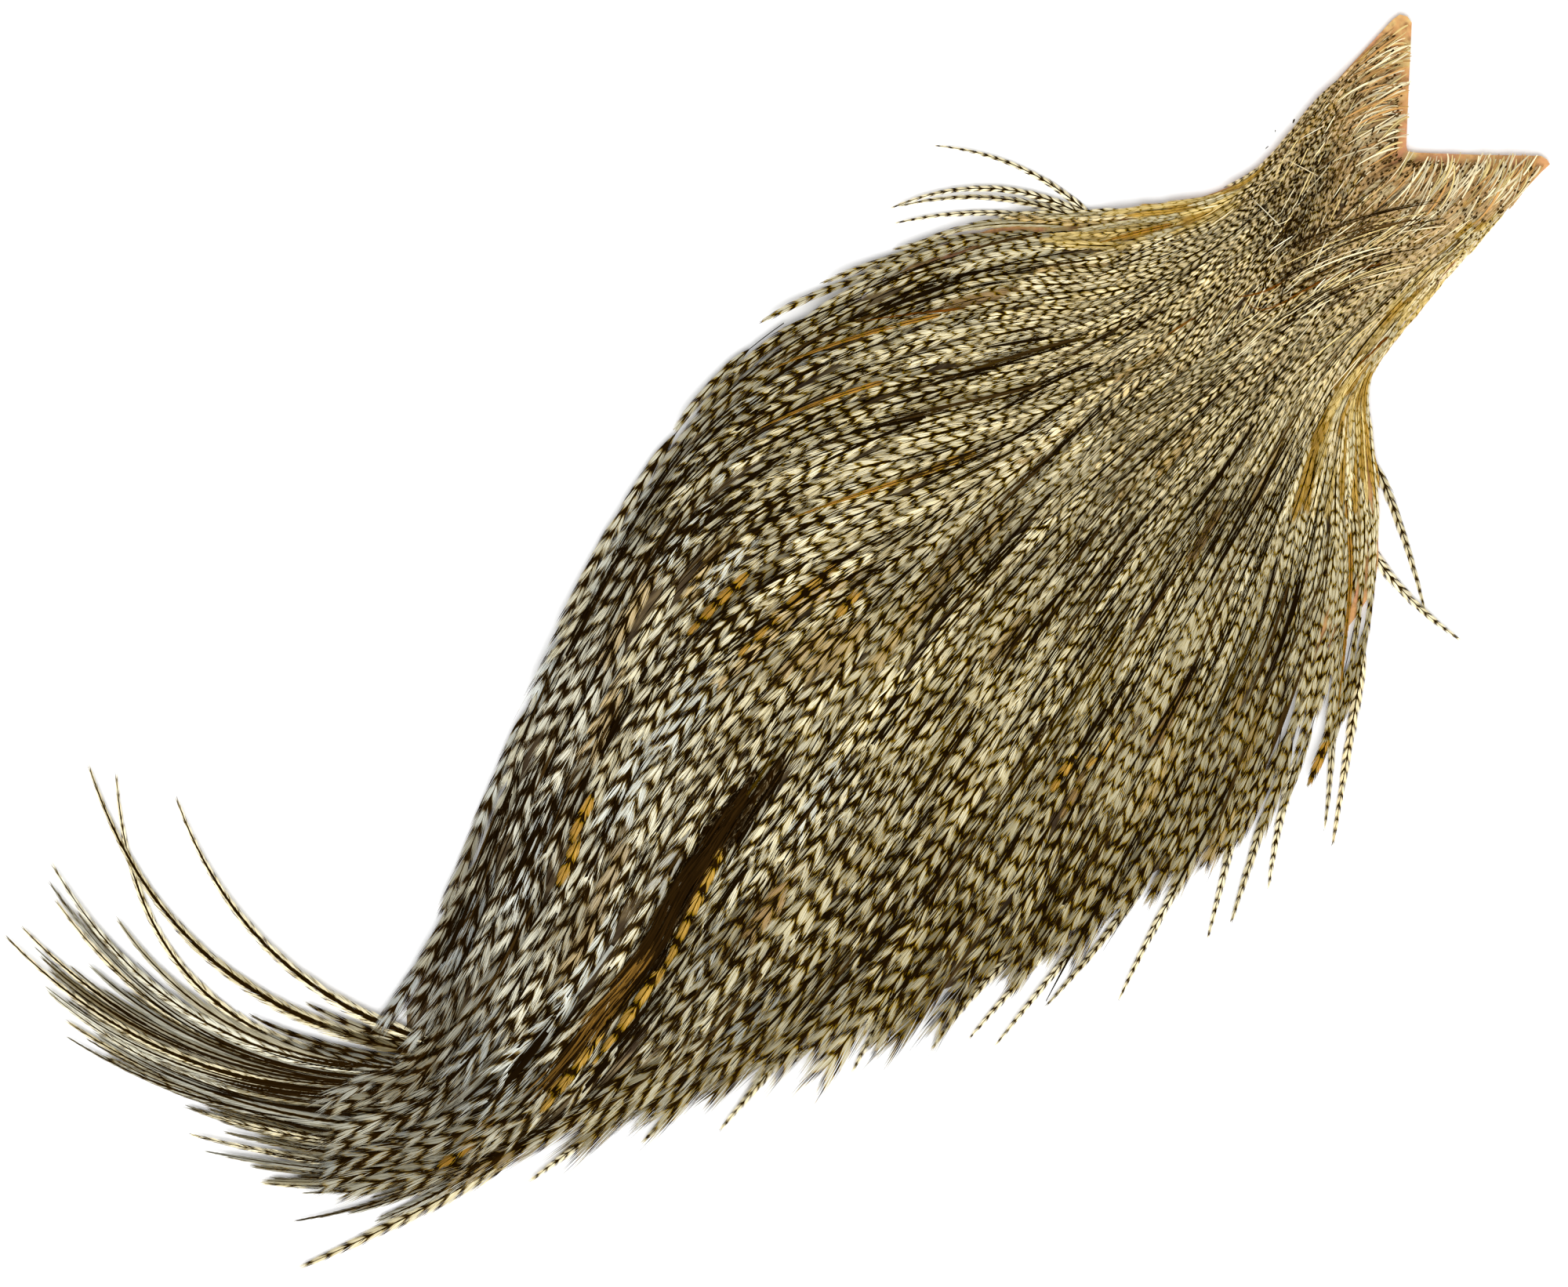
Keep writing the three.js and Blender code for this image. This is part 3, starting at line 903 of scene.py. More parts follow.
    def shade(self, s: float, distance: float) -> float:
        """How light a place is: darker in the crown, a little lighter at the neck, and painted shade in the
        furrows, towards the hem, on the right side and along the left edge.
        """
        along = distance / float(self.flow.length(s))
        offset = self.flow.plan(s, along) - np.array(CROWN)
        crown = np.array([offset @ np.array(CROWN_WAY), offset @ np.array(CROWN_SIDE)]) / np.array(CROWN_SIZE)
        head = 1 - 0.42 * math.exp(-float(crown @ crown))
        neck = 1 + 0.24 * math.exp(-((distance - 80) / 28) ** 2)
        # Painted shade: darker towards the ends of the flow lines and at the hem, in the lower coat from the
        # middle rightwards, and along the left edge.
        hem = 1 - 0.28 * ease(along, 0.6, 0.9) - 0.5 * ease(distance, 275, 300)
        hem -= 0.14 * ease(s, 0.35, 0.5) * (distance > 215)
        hem -= 0.45 * (1 - ease(s, 0, 0.16)) * float(self.left_edge_shade(distance))
        # Painted shade in the furrows between locks, lighter on their ridges; level then sets the brightness
        # by the distance from the notch.
        lock = min(0.76 + 0.44 * float(self.ridge(s, along)), 1.08)
        lock = (1 + (lock - 1) * float(self.furrow(distance))) * float(self.level(distance))
        # Painted shade on the right side, beyond 80 mm from the notch.
        right = 1 - 0.17 * ease(s, 0.7, 0.9) * (distance > 80)
        return head * neck * max(hem, 0.43) * lock * right

    def tint(self, s: float, distance: float) -> Colour:
        """Pick the pale colour of a hackle at a place."""
        if self.straw(s, distance):
            straw = self.random.choice([Tint.STRAW, Tint.WARM, Tint.TAN, Tint.STRAW, Tint.GOLD])
            return scaled(straw.value, self.random.uniform(0.75, 1.05))
        cool = ease(distance, 150, 250) * self.left(s)
        tan = ease(s, 0.4, 0.8) * ease(distance, 60, 140)
        warm = 1 - ease(distance, 30, 110)
        fawn = float(self.fawn(distance))
        base = np.array(Tint.CREAM.value)
        for share, colour in ((warm, Tint.WARM), (tan, Tint.TAN), (cool, Tint.WHITE), (fawn, Tint.FAWN)):
            base = base * (1 - share) + np.array(colour.value) * share
        if self.random.random() < 0.4 * cool:
            base = 0.35 * base + 0.65 * np.array(Tint.PEARL.value)
        draw = self.random.random()
        for limit, share, colour in ODD_TINTS:
            if distance < self.low_start and colour in LOW_TINTS:
                continue
            if draw < limit:
                base = (1 - share) * base + share * np.array(colour.value)
                break
        # The tint carries the painted shade that shade() gives for its place.
        return scaled(base, self.random.uniform(0.8, 1.02) * self.shade(s, distance))

    def spine(self, s: float, t: float, length: float) -> np.ndarray:
        """The line of a hackle.

        Args:
            s: Place of its tip across.
            t: Place of its tip along.
            length: Its length in mm.

        Returns:
            Points from root to tip, in mm.
        """
        span = float(self.flow.length(s))
        distance = t * span
        u = np.linspace(0, 1, 12)
        run = np.maximum(t - (1 - u) * length / span, 0.004)
        turn = length / float(self.flow.width(s, t))
        edge = (1 - ease(min(s, 1 - s), 0, 0.05)) * np.sign(s - 0.5)
        if s < 0.5 and distance > 190:
            edge *= 0.3
        lean = (self.random.normal(0, 0.05) + edge * self.random.uniform(0, 0.3) ** 1.5) * turn
        bow = self.random.normal(0, 0.02) * turn
        across = np.clip(s + float(self.drift(s, t, length)) * (1 - u), min(s, 0.006), max(s, 0.994))
        across = across + lean * (u - 0.5) + bow * (u - 0.5) ** 2
        top = self.mound.height(across, run)
        low = self.grade(self.floors, run * span)
        depth = np.minimum(self.grade(self.depths, distance), np.maximum(top - low, 0.1))
        rise = (self.ridge(across, run) - 0.5) * np.clip((top - low) / 4, 0, 1) * self.lock_rise(distance)
        z = np.maximum(top + rise - depth * (1 - u) ** 0.85 + self.random.normal(0, 0.16), low)
        return np.column_stack([self.flow.plan(across, run), z])

    def phase(self, s: float, t: float, length: float, number: int) -> np.ndarray:
        """The bars along a hackle, in step with those around it but for a wave and a little chance."""
        distance = t * float(self.flow.length(s))
        place = distance - (1 - np.linspace(0, 1, number)) * length
        wave = 1.6 * float(self.blend(self.waves, s, t)) * float(self.wavy_bars(distance))
        wave += self.random.normal(0, self.loose_bars(distance))
        return np.interp(place, self.steps, self.bars) + wave

    def light(self, s: float, t: float, distance: float) -> float:
        """The usual share of a hackle that is pale, at a place."""
        if self.straw(s, distance):
            return 0.9
        share = float(self.pale_share(distance)) + 0.25 * ease(s, 0.75, 0.9) * (distance < 90)
        share -= 0.07 * ease(t, 0.6, 0.9)
        return share - 0.06 * (1 - ease(s, 0.3, 0.5)) * float(self.left_side(distance))

    def hackle(self, s: float, t: float) -> Hackle:
        """The hackle whose tip is at a place of the coat.

        Args:
            s: Place across.
            t: Place along.

        Returns:
            The feather, lying under those that root nearer the head.
        """
        distance = t * float(self.flow.length(s))
        length = float(self.grade(self.lengths, distance)) * self.random.normal(1, 0.12)
        half = float(self.grade(self.halves, distance)) * self.random.normal(1, 0.14)
        half *= float(self.slim(min(s, 1 - s)))
        period = float(self.grade(self.periods, distance)) * self.random.normal(1, 0.06)
        spine = self.spine(s, t, length)
        phase = self.phase(s, t, length, len(spine))
        web = self.random.random() < 0.004 and distance > 90
        bold = self.random.random() < 0.12
        quill = 0.16 + 0.07 * half if distance > 110 else 0.1 + 0.05 * half
        if bold and distance > 60:
            quill = self.random.uniform(0.22, 0.24 + 0.0025 * distance)
        core = self.random.uniform(0.04 - 0.1 * (distance > 105), 0.14) * float(self.core(distance))
        core -= float(self.core_loss(distance))
        return Hackle(spine, phase, half, period, self.tint(s, distance),
                      gap=float(self.grade(self.gaps, distance)), arch=0.22 * half,
                      sweep=(16, 9) if distance < 50 else (11, 6.5), quill=quill,
                      pale_quill=self.random.random() < self.pale_quill(distance),
                      slant=float(self.grade(self.slants, distance)),
                      split=self.random.normal(0, float(self.split(distance))),
                      core=core, rim=2 * max(core, 0), warm=1 - ease(distance, 160, 250) * self.left(s),
                      light=1.1 if web else self.random.normal(self.light(s, t, distance), 0.06),
                      taper=0.3, bare=float(self.bare(distance)), ragged=0.1, fine=distance < 60)

    def tract(self, s: float, distance: float) -> Tract:
        """The piece that a hackle belongs to."""
        if distance < self.head_end:
            return Tract.HEAD
        if distance < self.neck_end:
            return Tract.NECK
        if distance > self.lower_start:
            return Tract.LOWER
        if s < self.left_end:
            return Tract.LEFT
        return Tract.MIDDLE if s < self.middle_end else Tract.RIGHT

    def build(self) -> None:
        """Build every tract as a piece, in order from the head."""
        meshes = {tract: HackleMesh(100 + k) for k, tract in enumerate(Tract)}
        for s, t in self.scatter():
            distance = t * float(self.flow.length(s))
            meshes[self.tract(s, distance)].add(self.hackle(s, t))
        for tract in Tract:
            piece = meshes[tract].finish(tract.value)
            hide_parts("coat")
            self.pieces.append(piece)


class Habit(Enum):
    """How a loose hackle has worn: its half width for its solid's width, its pale share, how ragged it is."""

    LONG = (0.3, 0.84, 0.2)
    SHORT = (0.26, 0.62, 0.2)
    NEAT = (0.42, 0.7, 0.09)


@dataclass(frozen=True)
class Loose:
    """A hackle that stands clear of the coat: root, tip and sideways bow in mm, as its solid has them."""

    node: str
    root: Pair
    tip: Pair
    bow: float
    width: float
    layer: int
    tint: Tint
    core: float = 0.02
    period: float = 2.6
    habit: Habit = Habit.NEAT


def tail_hackles() -> list[Loose]:
    """The long hackles that fan out from under the hem."""
    rows = (
        ((-6, -160), (-71.7, -165.8), 9.6, 5.0, 2, Tint.CREAM, 0.3),
        ((-8, -165), (-89, -175.2), 13.5, 5.5, 1, Tint.TAN, 0.3),
        ((-6.5, -168.6), (-84, -172.3), 18.6, 5.0, 0, Tint.CREAM, 0.2),
        ((-4, -169), (-78.7, -194.7), 13.0, 6.0, 2, Tint.WHITE, 0.12),
        ((-3, -171.6), (-72.6, -199.2), 11.0, 5.5, 1, Tint.CREAM, 0.15),
        ((-3, -173.6), (-73.3, -208.2), 9.8, 5.0, 0, Tint.CREAM, 0.3),
        ((-2.4, -175.5), (-74, -212), 10.2, 5.0, 2, Tint.CREAM, 0.3),
        ((0, -178.8), (-59.6, -213.2), 8.0, 5.5, 1, Tint.WHITE, 0.1),
        ((4.5, -180), (-52, -214.3), 5.9, 5.5, 0, Tint.TAN, 0.2),
        ((10, -183), (-18.9, -206), 1.5, 5.0, 2, Tint.CREAM, 0.1),
        ((17.6, -183), (-17, -210.8), 1.2, 5.0, 1, Tint.CREAM, 0.05),
        ((22.3, -174), (1, -206.2), 3.0, 5.5, 0, Tint.TAN, 0.05),
        ((30, -170), (19.6, -211.4), 1.0, 4.5, 0, Tint.TAN, 0.05),
    )
    habits = [Habit.LONG] * 9 + [Habit.SHORT] * 3 + [Habit.NEAT]
    return [Loose(f"tail_hackle_{k + 1:02d}", *row, period=4.6, habit=habits[k])
            for k, row in enumerate(rows)]


def stray_hackles() -> list[Loose]:
    """The single hackles at the shoulders and along the hem."""
    rows = (
        ((-35, 58.6), (-67.5, 47.3), -4.6, 2.0, 0, Tint.CREAM),
        ((-39, 55.4), (-64, 31.6), -5.6, 2.2, 1, Tint.CREAM),
        ((-42.7, 52.8), (-63, 33.2), -3.0, 2.0, 2, Tint.TAN),
        ((-42, 51), (-61, 30), -2.2, 2.0, 0, Tint.CREAM),
        ((53, 68), (75.2, 58.3), 0.7, 2.4, 0, Tint.TAN),
        ((59, 60), (84.3, 59.5), -2.3, 3.0, 1, Tint.CREAM),
        ((78.3, 36.4), (98.7, 11), 0.0, 3.0, 0, Tint.WARM),
        ((80, 27), (95, 12), 0.6, 2.4, 1, Tint.TAN),
        ((85.6, 9.7), (96.5, -5.4), -0.6, 2.6, 0, Tint.CREAM),
        ((88, -1.4), (96.6, -16), 0.0, 2.6, 1, Tint.TAN),
        ((86, -7.5), (95.8, -22), 0.0, 2.4, 0, Tint.CREAM),
        ((84, -20), (93, -44.8), -0.5, 2.6, 1, Tint.CREAM),
        ((79, -30), (83.8, -57), 0.8, 2.6, 0, Tint.TAN),
        ((77, -35), (82.8, -70.7), 0.0, 2.8, 1, Tint.CREAM),
        ((75, -49), (78, -73.8), 0.0, 2.6, 0, Tint.CREAM),
        ((72, -56), (74.2, -81), -1.3, 2.8, 1, Tint.TAN),
        ((60, -80), (66.5, -97), 0.0, 2.6, 0, Tint.CREAM),
        ((54, -105), (57, -126), 0.0, 3.0, 1, Tint.CREAM),
        ((47, -122), (48, -140), 0.0, 3.0, 0, Tint.TAN),
        ((40, -145), (38.2, -163.3), 0.0, 3.0, 1, Tint.CREAM),
    )
    return [Loose(f"stray_hackle_{k + 1:02d}", *row) for k, row in enumerate(rows)]


@dataclass
class LooseHackles(Assembly):
    """The hackles that lie apart from the coat, each a piece in place of its solid."""

    hidden: float = 9.0
    table_gap: float = 0.7
    layer_height: float = 0.5

    def spine(self, loose: Loose, steps: int = 26) -> np.ndarray:
        """The bowed line of a loose hackle, sinking to the table."""
        tip = np.array(loose.tip, float)
        way = tip - np.array(loose.root)
        way /= np.linalg.norm(way)
        root = np.array(loose.root) - way * self.hidden
        bend = (root + tip) / 2 + 2 * loose.bow * np.array([-way[1], way[0]])
        u = np.linspace(0, 1, steps)[:, None]
        line = (1 - u) ** 2 * root + 2 * u * (1 - u) * bend + u ** 2 * tip
        z = self.table_gap + loose.layer * self.layer_height * (1 - 0.5 * u[:, 0])
        return np.column_stack([line, z])

    def build(self) -> None:
        """Build each loose hackle as a piece."""
        for k, loose in enumerate(tail_hackles() + stray_hackles()):
            spine = self.spine(loose)
            slim, light, ragged = loose.habit.value
            mesh = HackleMesh(300 + k)
            mesh.add(Hackle(spine, lengths_along(spine) / loose.period, loose.width * slim, loose.period,
                            loose.tint.value, gap=0.5, sweep=(12, 6), arch=0.3, taper=0.9, core=loose.core,
                            quill=0.35, slant=1.8, rim=0.05, warm=0.4, light=light, ragged=ragged))
            piece = mesh.finish(f"{loose.node}_feather")
            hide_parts(loose.node)
            self.pieces.append(piece)


@dataclass(frozen=True)
class MarkLook:
    """The look of an odd hackle: its half width and lift in mm, its colours, its quill and its bars.

    Growth is what the half width gains with each mm from the notch.
    """

    half: float
    tint: Tint
    core: float
    light: float
    quill: float
    slant: float = 1.0
    lift: float = 0.25
    growth: float = 0.0
    warm: float = 1.0


class Mark(Enum):
    """What makes a single hackle of the coat stand out."""

    AMBER = MarkLook(0.8, Tint.AMBER, 0.04, 0.62, 0.15, 0.5, growth=0.002)
    GOLD = MarkLook(1.2, Tint.GOLD, 0.03, 0.66, 0.15, 0.5, lift=1.2)
    HONEY = MarkLook(0.5, Tint.AMBER, 0.05, 0.9, 0.2, lift=0.9)
    RUSSET = MarkLook(0.3, Tint.ORANGE, -0.1, 2.0, 0.2)
    QUILL = MarkLook(0.28, Tint.DARK, -0.1, 2.0, 0.45, lift=0.5)
    DUSKY = MarkLook(0.9, Tint.DARK, 0.05, 2.0, 0.3, warm=0.0)


ACCENTS: dict[Mark, tuple[tuple[float, float, float, float], ...]] = {
    Mark.DUSKY: (
        (7, -70, 11, -84), (8, -75, 13, -93), (11, -86, 16, -104), (14, -95, 20, -115), (17, -103, 22, -122)),
    Mark.AMBER: (
        (-27, -42, -26, -62), (-15, -27, -15, -57), (50, -5, 52, -18), (80, 25, 85, 16), (-12, 14, -18, -1),
        (-14, -98, -9, -109), (-9, -106, -4, -117), (47, -14, 51, -26), (23, -158, 23, -177),
        (-8, -23, -8, -37), (18, -107, 23, -127), (20, -115, 24, -138), (22, -124, 26, -147),
        (21, -120, 25, -142), (24, -134, 27, -156)),
    Mark.HONEY: (
        (-40, 24, -56, -11), (-37, 5, -48, -21), (-16, 2, -29, -30), (46, 61, 77, 30), (-21, 74, -29, 59)),
    Mark.GOLD: (
        (12, -84, 24, -115), (22, -110, 28, -136), (24, -128, 28, -152)),
    Mark.RUSSET: (
        (20, 113, 1, 74), (27, 93, 27, 81), (4, 87, -1, 73), (-3, 67, -5, 57), (-34, 32, -50, 10)),
    Mark.QUILL: (
        (24, 38, 38, -5), (38, -5, 48, -50), (32, 15, 43, -20), (5, -62, 12, -89), (-8, 20, -13, -5),
        (-1, 51, -14, 23), (-14, 46, -27, 21), (12, -3, 18, -28), (8, -37, 16, -63), (25, -28, 32, -59),
        (54, 29, 65, 1)),
}

# The middle of the dark streak in the lower half of the coat, in mm.
BAND: tuple[Pair, ...] = (
    (7.6, -72), (8.8, -78), (11.8, -89), (14, -98), (18.4, -109), (20.8, -118.5), (22.2, -128.6),
    (24.6, -139.6), (26.2, -153.5))


@dataclass
class Accents(Assembly):
    """The odd hackles that lie on top of the coat: amber, gold, russet and dark ones, and dark hairs."""

    slot: ClassVar[str] = "amber_hackle"
    coat: Coat
    seed: int = 41
    dusky_copies: int = 6
    streak_hairs: int = 230
    long_tries: int = 1100
    neck_hairs: int = 230

    def __post_init__(self) -> None:
        """Seed the hackles and start their mesh."""
        self.random = np.random.default_rng(self.seed)
        self.mesh = HackleMesh(500)

    def hackle(self, mark: Mark, root: np.ndarray, tip: np.ndarray) -> Hackle:
        """One odd hackle.

        Args:
            mark: Its kind.
            root: Where it comes out of the coat, in mm.
            tip: Where it ends, in mm.

        Returns:
            The feather, lying on the coat.
        """
        look = mark.value
        flow = self.coat.flow
        u = np.linspace(0, 1, 14)
        s, t = flow.locate(np.array([root, tip]))
        s, t = s[0] + (s[1] - s[0]) * u, t[0] + (t[1] - t[0]) * u
        top = np.pad(self.coat.mound.height(s, t), 2, mode="edge")
        z = np.convolve(top, np.full(5, 0.2), mode="valid") + look.lift - 1.4 * (1 - u) ** 4
        distance = float((t * flow.length(s)).mean())
        period = float(self.coat.grade(self.coat.periods, distance))
        run = u * float(np.linalg.norm(tip - root))
        half = look.half + look.growth * distance
        return Hackle(np.column_stack([flow.plan(s, t), z]), run / period, half, period, look.tint.value,
                      gap=0.6, sweep=(16, 8), arch=0.3 * half, taper=0.6, core=look.core, rim=0.25,
                      warm=look.warm, light=look.light, quill=look.quill, slant=look.slant)

    def add_marks(self) -> None:
        """Add the odd hackles, with a loose bunch of copies to each dusky one."""
        random = self.random
        for mark, rows in ACCENTS.items():
            for row in rows:
                root, tip = np.array(row[:2], float), np.array(row[2:], float)
                made = self.hackle(mark, root, tip)
                if mark is Mark.AMBER:
                    gold = random.uniform(0.1, 0.8)
                    made.tint = tuple(np.array(made.tint) * (1 - gold) + np.array(Tint.GOLD.value) * gold)
                self.mesh.add(made)
                for _ in range(self.dusky_copies if mark is Mark.DUSKY else 0):
                    shift = random.normal(0, 1, 2) * np.array([1.1, 3.5])
                    made = self.hackle(mark, root + shift, tip + shift + random.normal(0, 0.6, 2))
                    tint = random.choice([Tint.DARK] * 6 + [Tint.UMBER, Tint.BROWN])
                    made.tint = scaled(tint.value, random.uniform(0.4, 1.0))
                    made.light = random.choice([2.0, 0.45])
                    made.spine[:, 2] += random.normal(0, 0.2)
                    self.mesh.add(made)

    def add_streak(self) -> None:
        """Add the hairs of the dark streak, some of them amber towards its lower end."""
        random = self.random
        band = smooth_line(np.array(BAND, float), 60)
        last = len(band) - 1
        for _ in range(self.streak_hairs):
            at = random.uniform(0, 0.8)
            end = min(at + random.uniform(0.12, 0.3), 1)
            line = band[np.linspace(at * last, end * last, 9).astype(int)]
            shift = random.normal(-0.4, 0.65) * (0.5 + math.sin(math.pi * min(at + 0.1, 1)))
            side = shift + random.normal(-0.2, 0.7) * np.linspace(0, 1, 9)
            line = line + np.column_stack([side, 0.3 * side])
            lift = (0.9 + random.uniform(0, 0.5)) * np.interp(np.arange(9), (0, 2, 8), (0, 1, 1))
            amber = random.random() < np.clip((-112 - line[4, 1]) / 16, 0, 0.5)
            colour, low, high = (Tint.AMBER, 0.2, 0.6) if amber else (Tint.DARK, 0.5, 2.2)
            tint = scaled(colour.value, random.uniform(low, high))
            self.mesh.hair(self.coat.drape(line, lift), random.uniform(0.2, 0.42), tint, random.random())

    def add_long_lines(self) -> None:
        """Add the thin dark lines that run with the hackles all over the coat, a few of them deep."""
        random = self.random
        flow = self.coat.flow
        often = Ramp((50, 70, 115), (0.1, 0.7, 1))
        slim = Ramp((60, 120), (0.6, 1))
        for _ in range(self.long_tries):
            s, start = random.uniform(0.04, 0.96), random.uniform(0.1, 0.88)
            span = float(flow.length(s))
            room = 0.04 * float(flow.width(s, start, 0.02))
            if random.random() > room / 4.5 * often(start * span):
                continue
            deep = random.random() < 0.09 and start * span > 75
            t = start + np.linspace(0, random.uniform(10, 34) * (1.3 if deep else 1) / span, 9)
            across = self.coat.follow(s, t, random.normal(0, 0.006))
            line = self.coat.lay(across, t, random.uniform(0.1, 0.55), 1.5)
            tint = random.choice([Tint.DARK] * 4 + [Tint.UMBER])
            width = (0.2 + random.exponential(0.14) + 0.35 * deep) * float(slim(start * span))
            self.mesh.hair(line, width, scaled(tint.value, 0.6), 0.5)

    def add_neck_lines(self) -> None:
        """Add the short dark hairs of the neck."""
        random = self.random
        for _ in range(self.neck_hairs):
            s, distance = random.uniform(0.12, 0.9), random.uniform(48, 108)
            t = (distance + np.linspace(0, random.uniform(5, 15), 7)) / float(self.coat.flow.length(s))
            across = self.coat.follow(s, t, random.normal(0, 0.012))
            line = self.coat.lay(across, t, random.uniform(0.05, 0.5), 0.8)
            width = random.uniform(0.12, 0.22)
            self.mesh.hair(line, width, scaled(Tint.DARK.value, random.uniform(0.4, 1.2)), 0.5)

    def build(self) -> None:
        """Build them all as one piece."""
        self.add_marks()
        self.add_streak()
        self.add_long_lines()
        self.add_neck_lines()
        piece = self.mesh.finish("odd_hackles")
        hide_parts("coat")
        self.pieces.append(piece)


@dataclass
class TailFan(Assembly):
    """The many thin hackles between the long ones of the tail."""

    loose: LooseHackles
    count: int = 100
    covers: int = 34
    lines: int = 70
    seed: int = 21
    first_place: float = 2.8

    def __post_init__(self) -> None:
        """Seed the fan and start its mesh."""
        self.random = np.random.default_rng(self.seed)
        self.mesh = HackleMesh(600)

    def strand(self, place: float, start: float, end: float) -> np.ndarray:
        """A line between two neighbouring long hackles.

        Args:
            place: Where it lies in the row of long hackles.
            start: Where it starts on them, 0 at the root.
            end: Where it ends on them, 1 at the tip.

        Returns:
            Points from root to tip, in mm.
        """
        long = tail_hackles()
        first = min(int(place), len(long) - 2)
        share = place - first
        spine = self.loose.spine(long[first]) * (1 - share) + self.loose.spine(long[first + 1]) * share
        reach = np.linspace(0, 1, len(spine))
        wanted = start + (end - start) * reach
        before = np.minimum(wanted, 0)[:, None] * (spine[3] - spine[0]) / reach[3]
        return np.column_stack([np.interp(wanted, reach, spine[:, axis]) for axis in range(3)]) + before

    def fray(self, spine: np.ndarray, stray: np.ndarray, base: float, height: float) -> None:
        """Turn a strand a little aside and let it sink from a height above the table to its tip."""
        reach = np.linspace(0, 1, len(spine))
        spine[:, :2] += stray * reach[:, None]
        spine[:, 2] = base + height * (1 - 0.65 * reach)

    def add_feathers(self) -> None:
        """Add the thin hackles of the fan, then the short ones that cover their roots."""
        random = self.random
        tints = [Tint.WHITE, Tint.CREAM, Tint.WHITE, Tint.GREY, Tint.ASH, Tint.TAN]
        for k in range(self.count + self.covers):
            cover = k >= self.count
            if cover:
                place = 0.4 + 11.0 * (k - self.count + random.random()) / self.covers
                spine = self.strand(place, -0.1, random.uniform(0.12, 0.36))
                half, period, light = random.uniform(1.2, 1.7), 6.0, 0.6
                height = random.uniform(1.0, 2.0)
            else:
                place = self.first_place + 9.0 * (k + random.random()) / self.count
                spine = self.strand(place, 0, random.uniform(0.5, 0.98))
                half, period, light = random.uniform(0.8, 1.8), 5.4, random.choice([0.75, 0.85, 2.0])
                height = random.uniform(0.1, 1.5)
            self.fray(spine, random.normal(0, 1.5, 2), 0.5, height)
            dim = 0.62 if cover or place > 7 else 1
            tint = scaled(random.choice(tints).value, random.uniform(0.45, 1.0) * dim)
            phase = lengths_along(spine) / period + random.random()
            self.mesh.add(Hackle(spine, phase, half, period, tint, gap=0.8, sweep=(10, 6), arch=0.4,
                                 taper=0.85, core=random.uniform(0.06, 0.35), quill=0.42, light=light,
                                 slant=2.4, rim=0.05, warm=0.3, ragged=0.1 if cover else 0.28))

    def add_lines(self) -> None:
        """Add the dark lines between the hackles of the fan."""
        random = self.random
        for k in range(self.lines):
            place = self.first_place + 7.4 * (k + random.random()) / self.lines
            spine = self.strand(place, random.uniform(0, 0.2), random.uniform(0.3, 0.85))
            self.fray(spine, random.normal(0, 1.2, 2), 0.6, random.uniform(0.6, 1.6))
            width = random.uniform(0.25, 0.5)
            self.mesh.hair(spine[::2], width, scaled(Tint.DARK.value, random.uniform(0.4, 1.4)), 0.5)

    def build(self) -> None:
        """Build the fan as one piece."""
        self.add_feathers()
        self.add_lines()
        piece = self.mesh.finish("tail_fan")
        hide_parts("coat")
        self.pieces.append(piece)


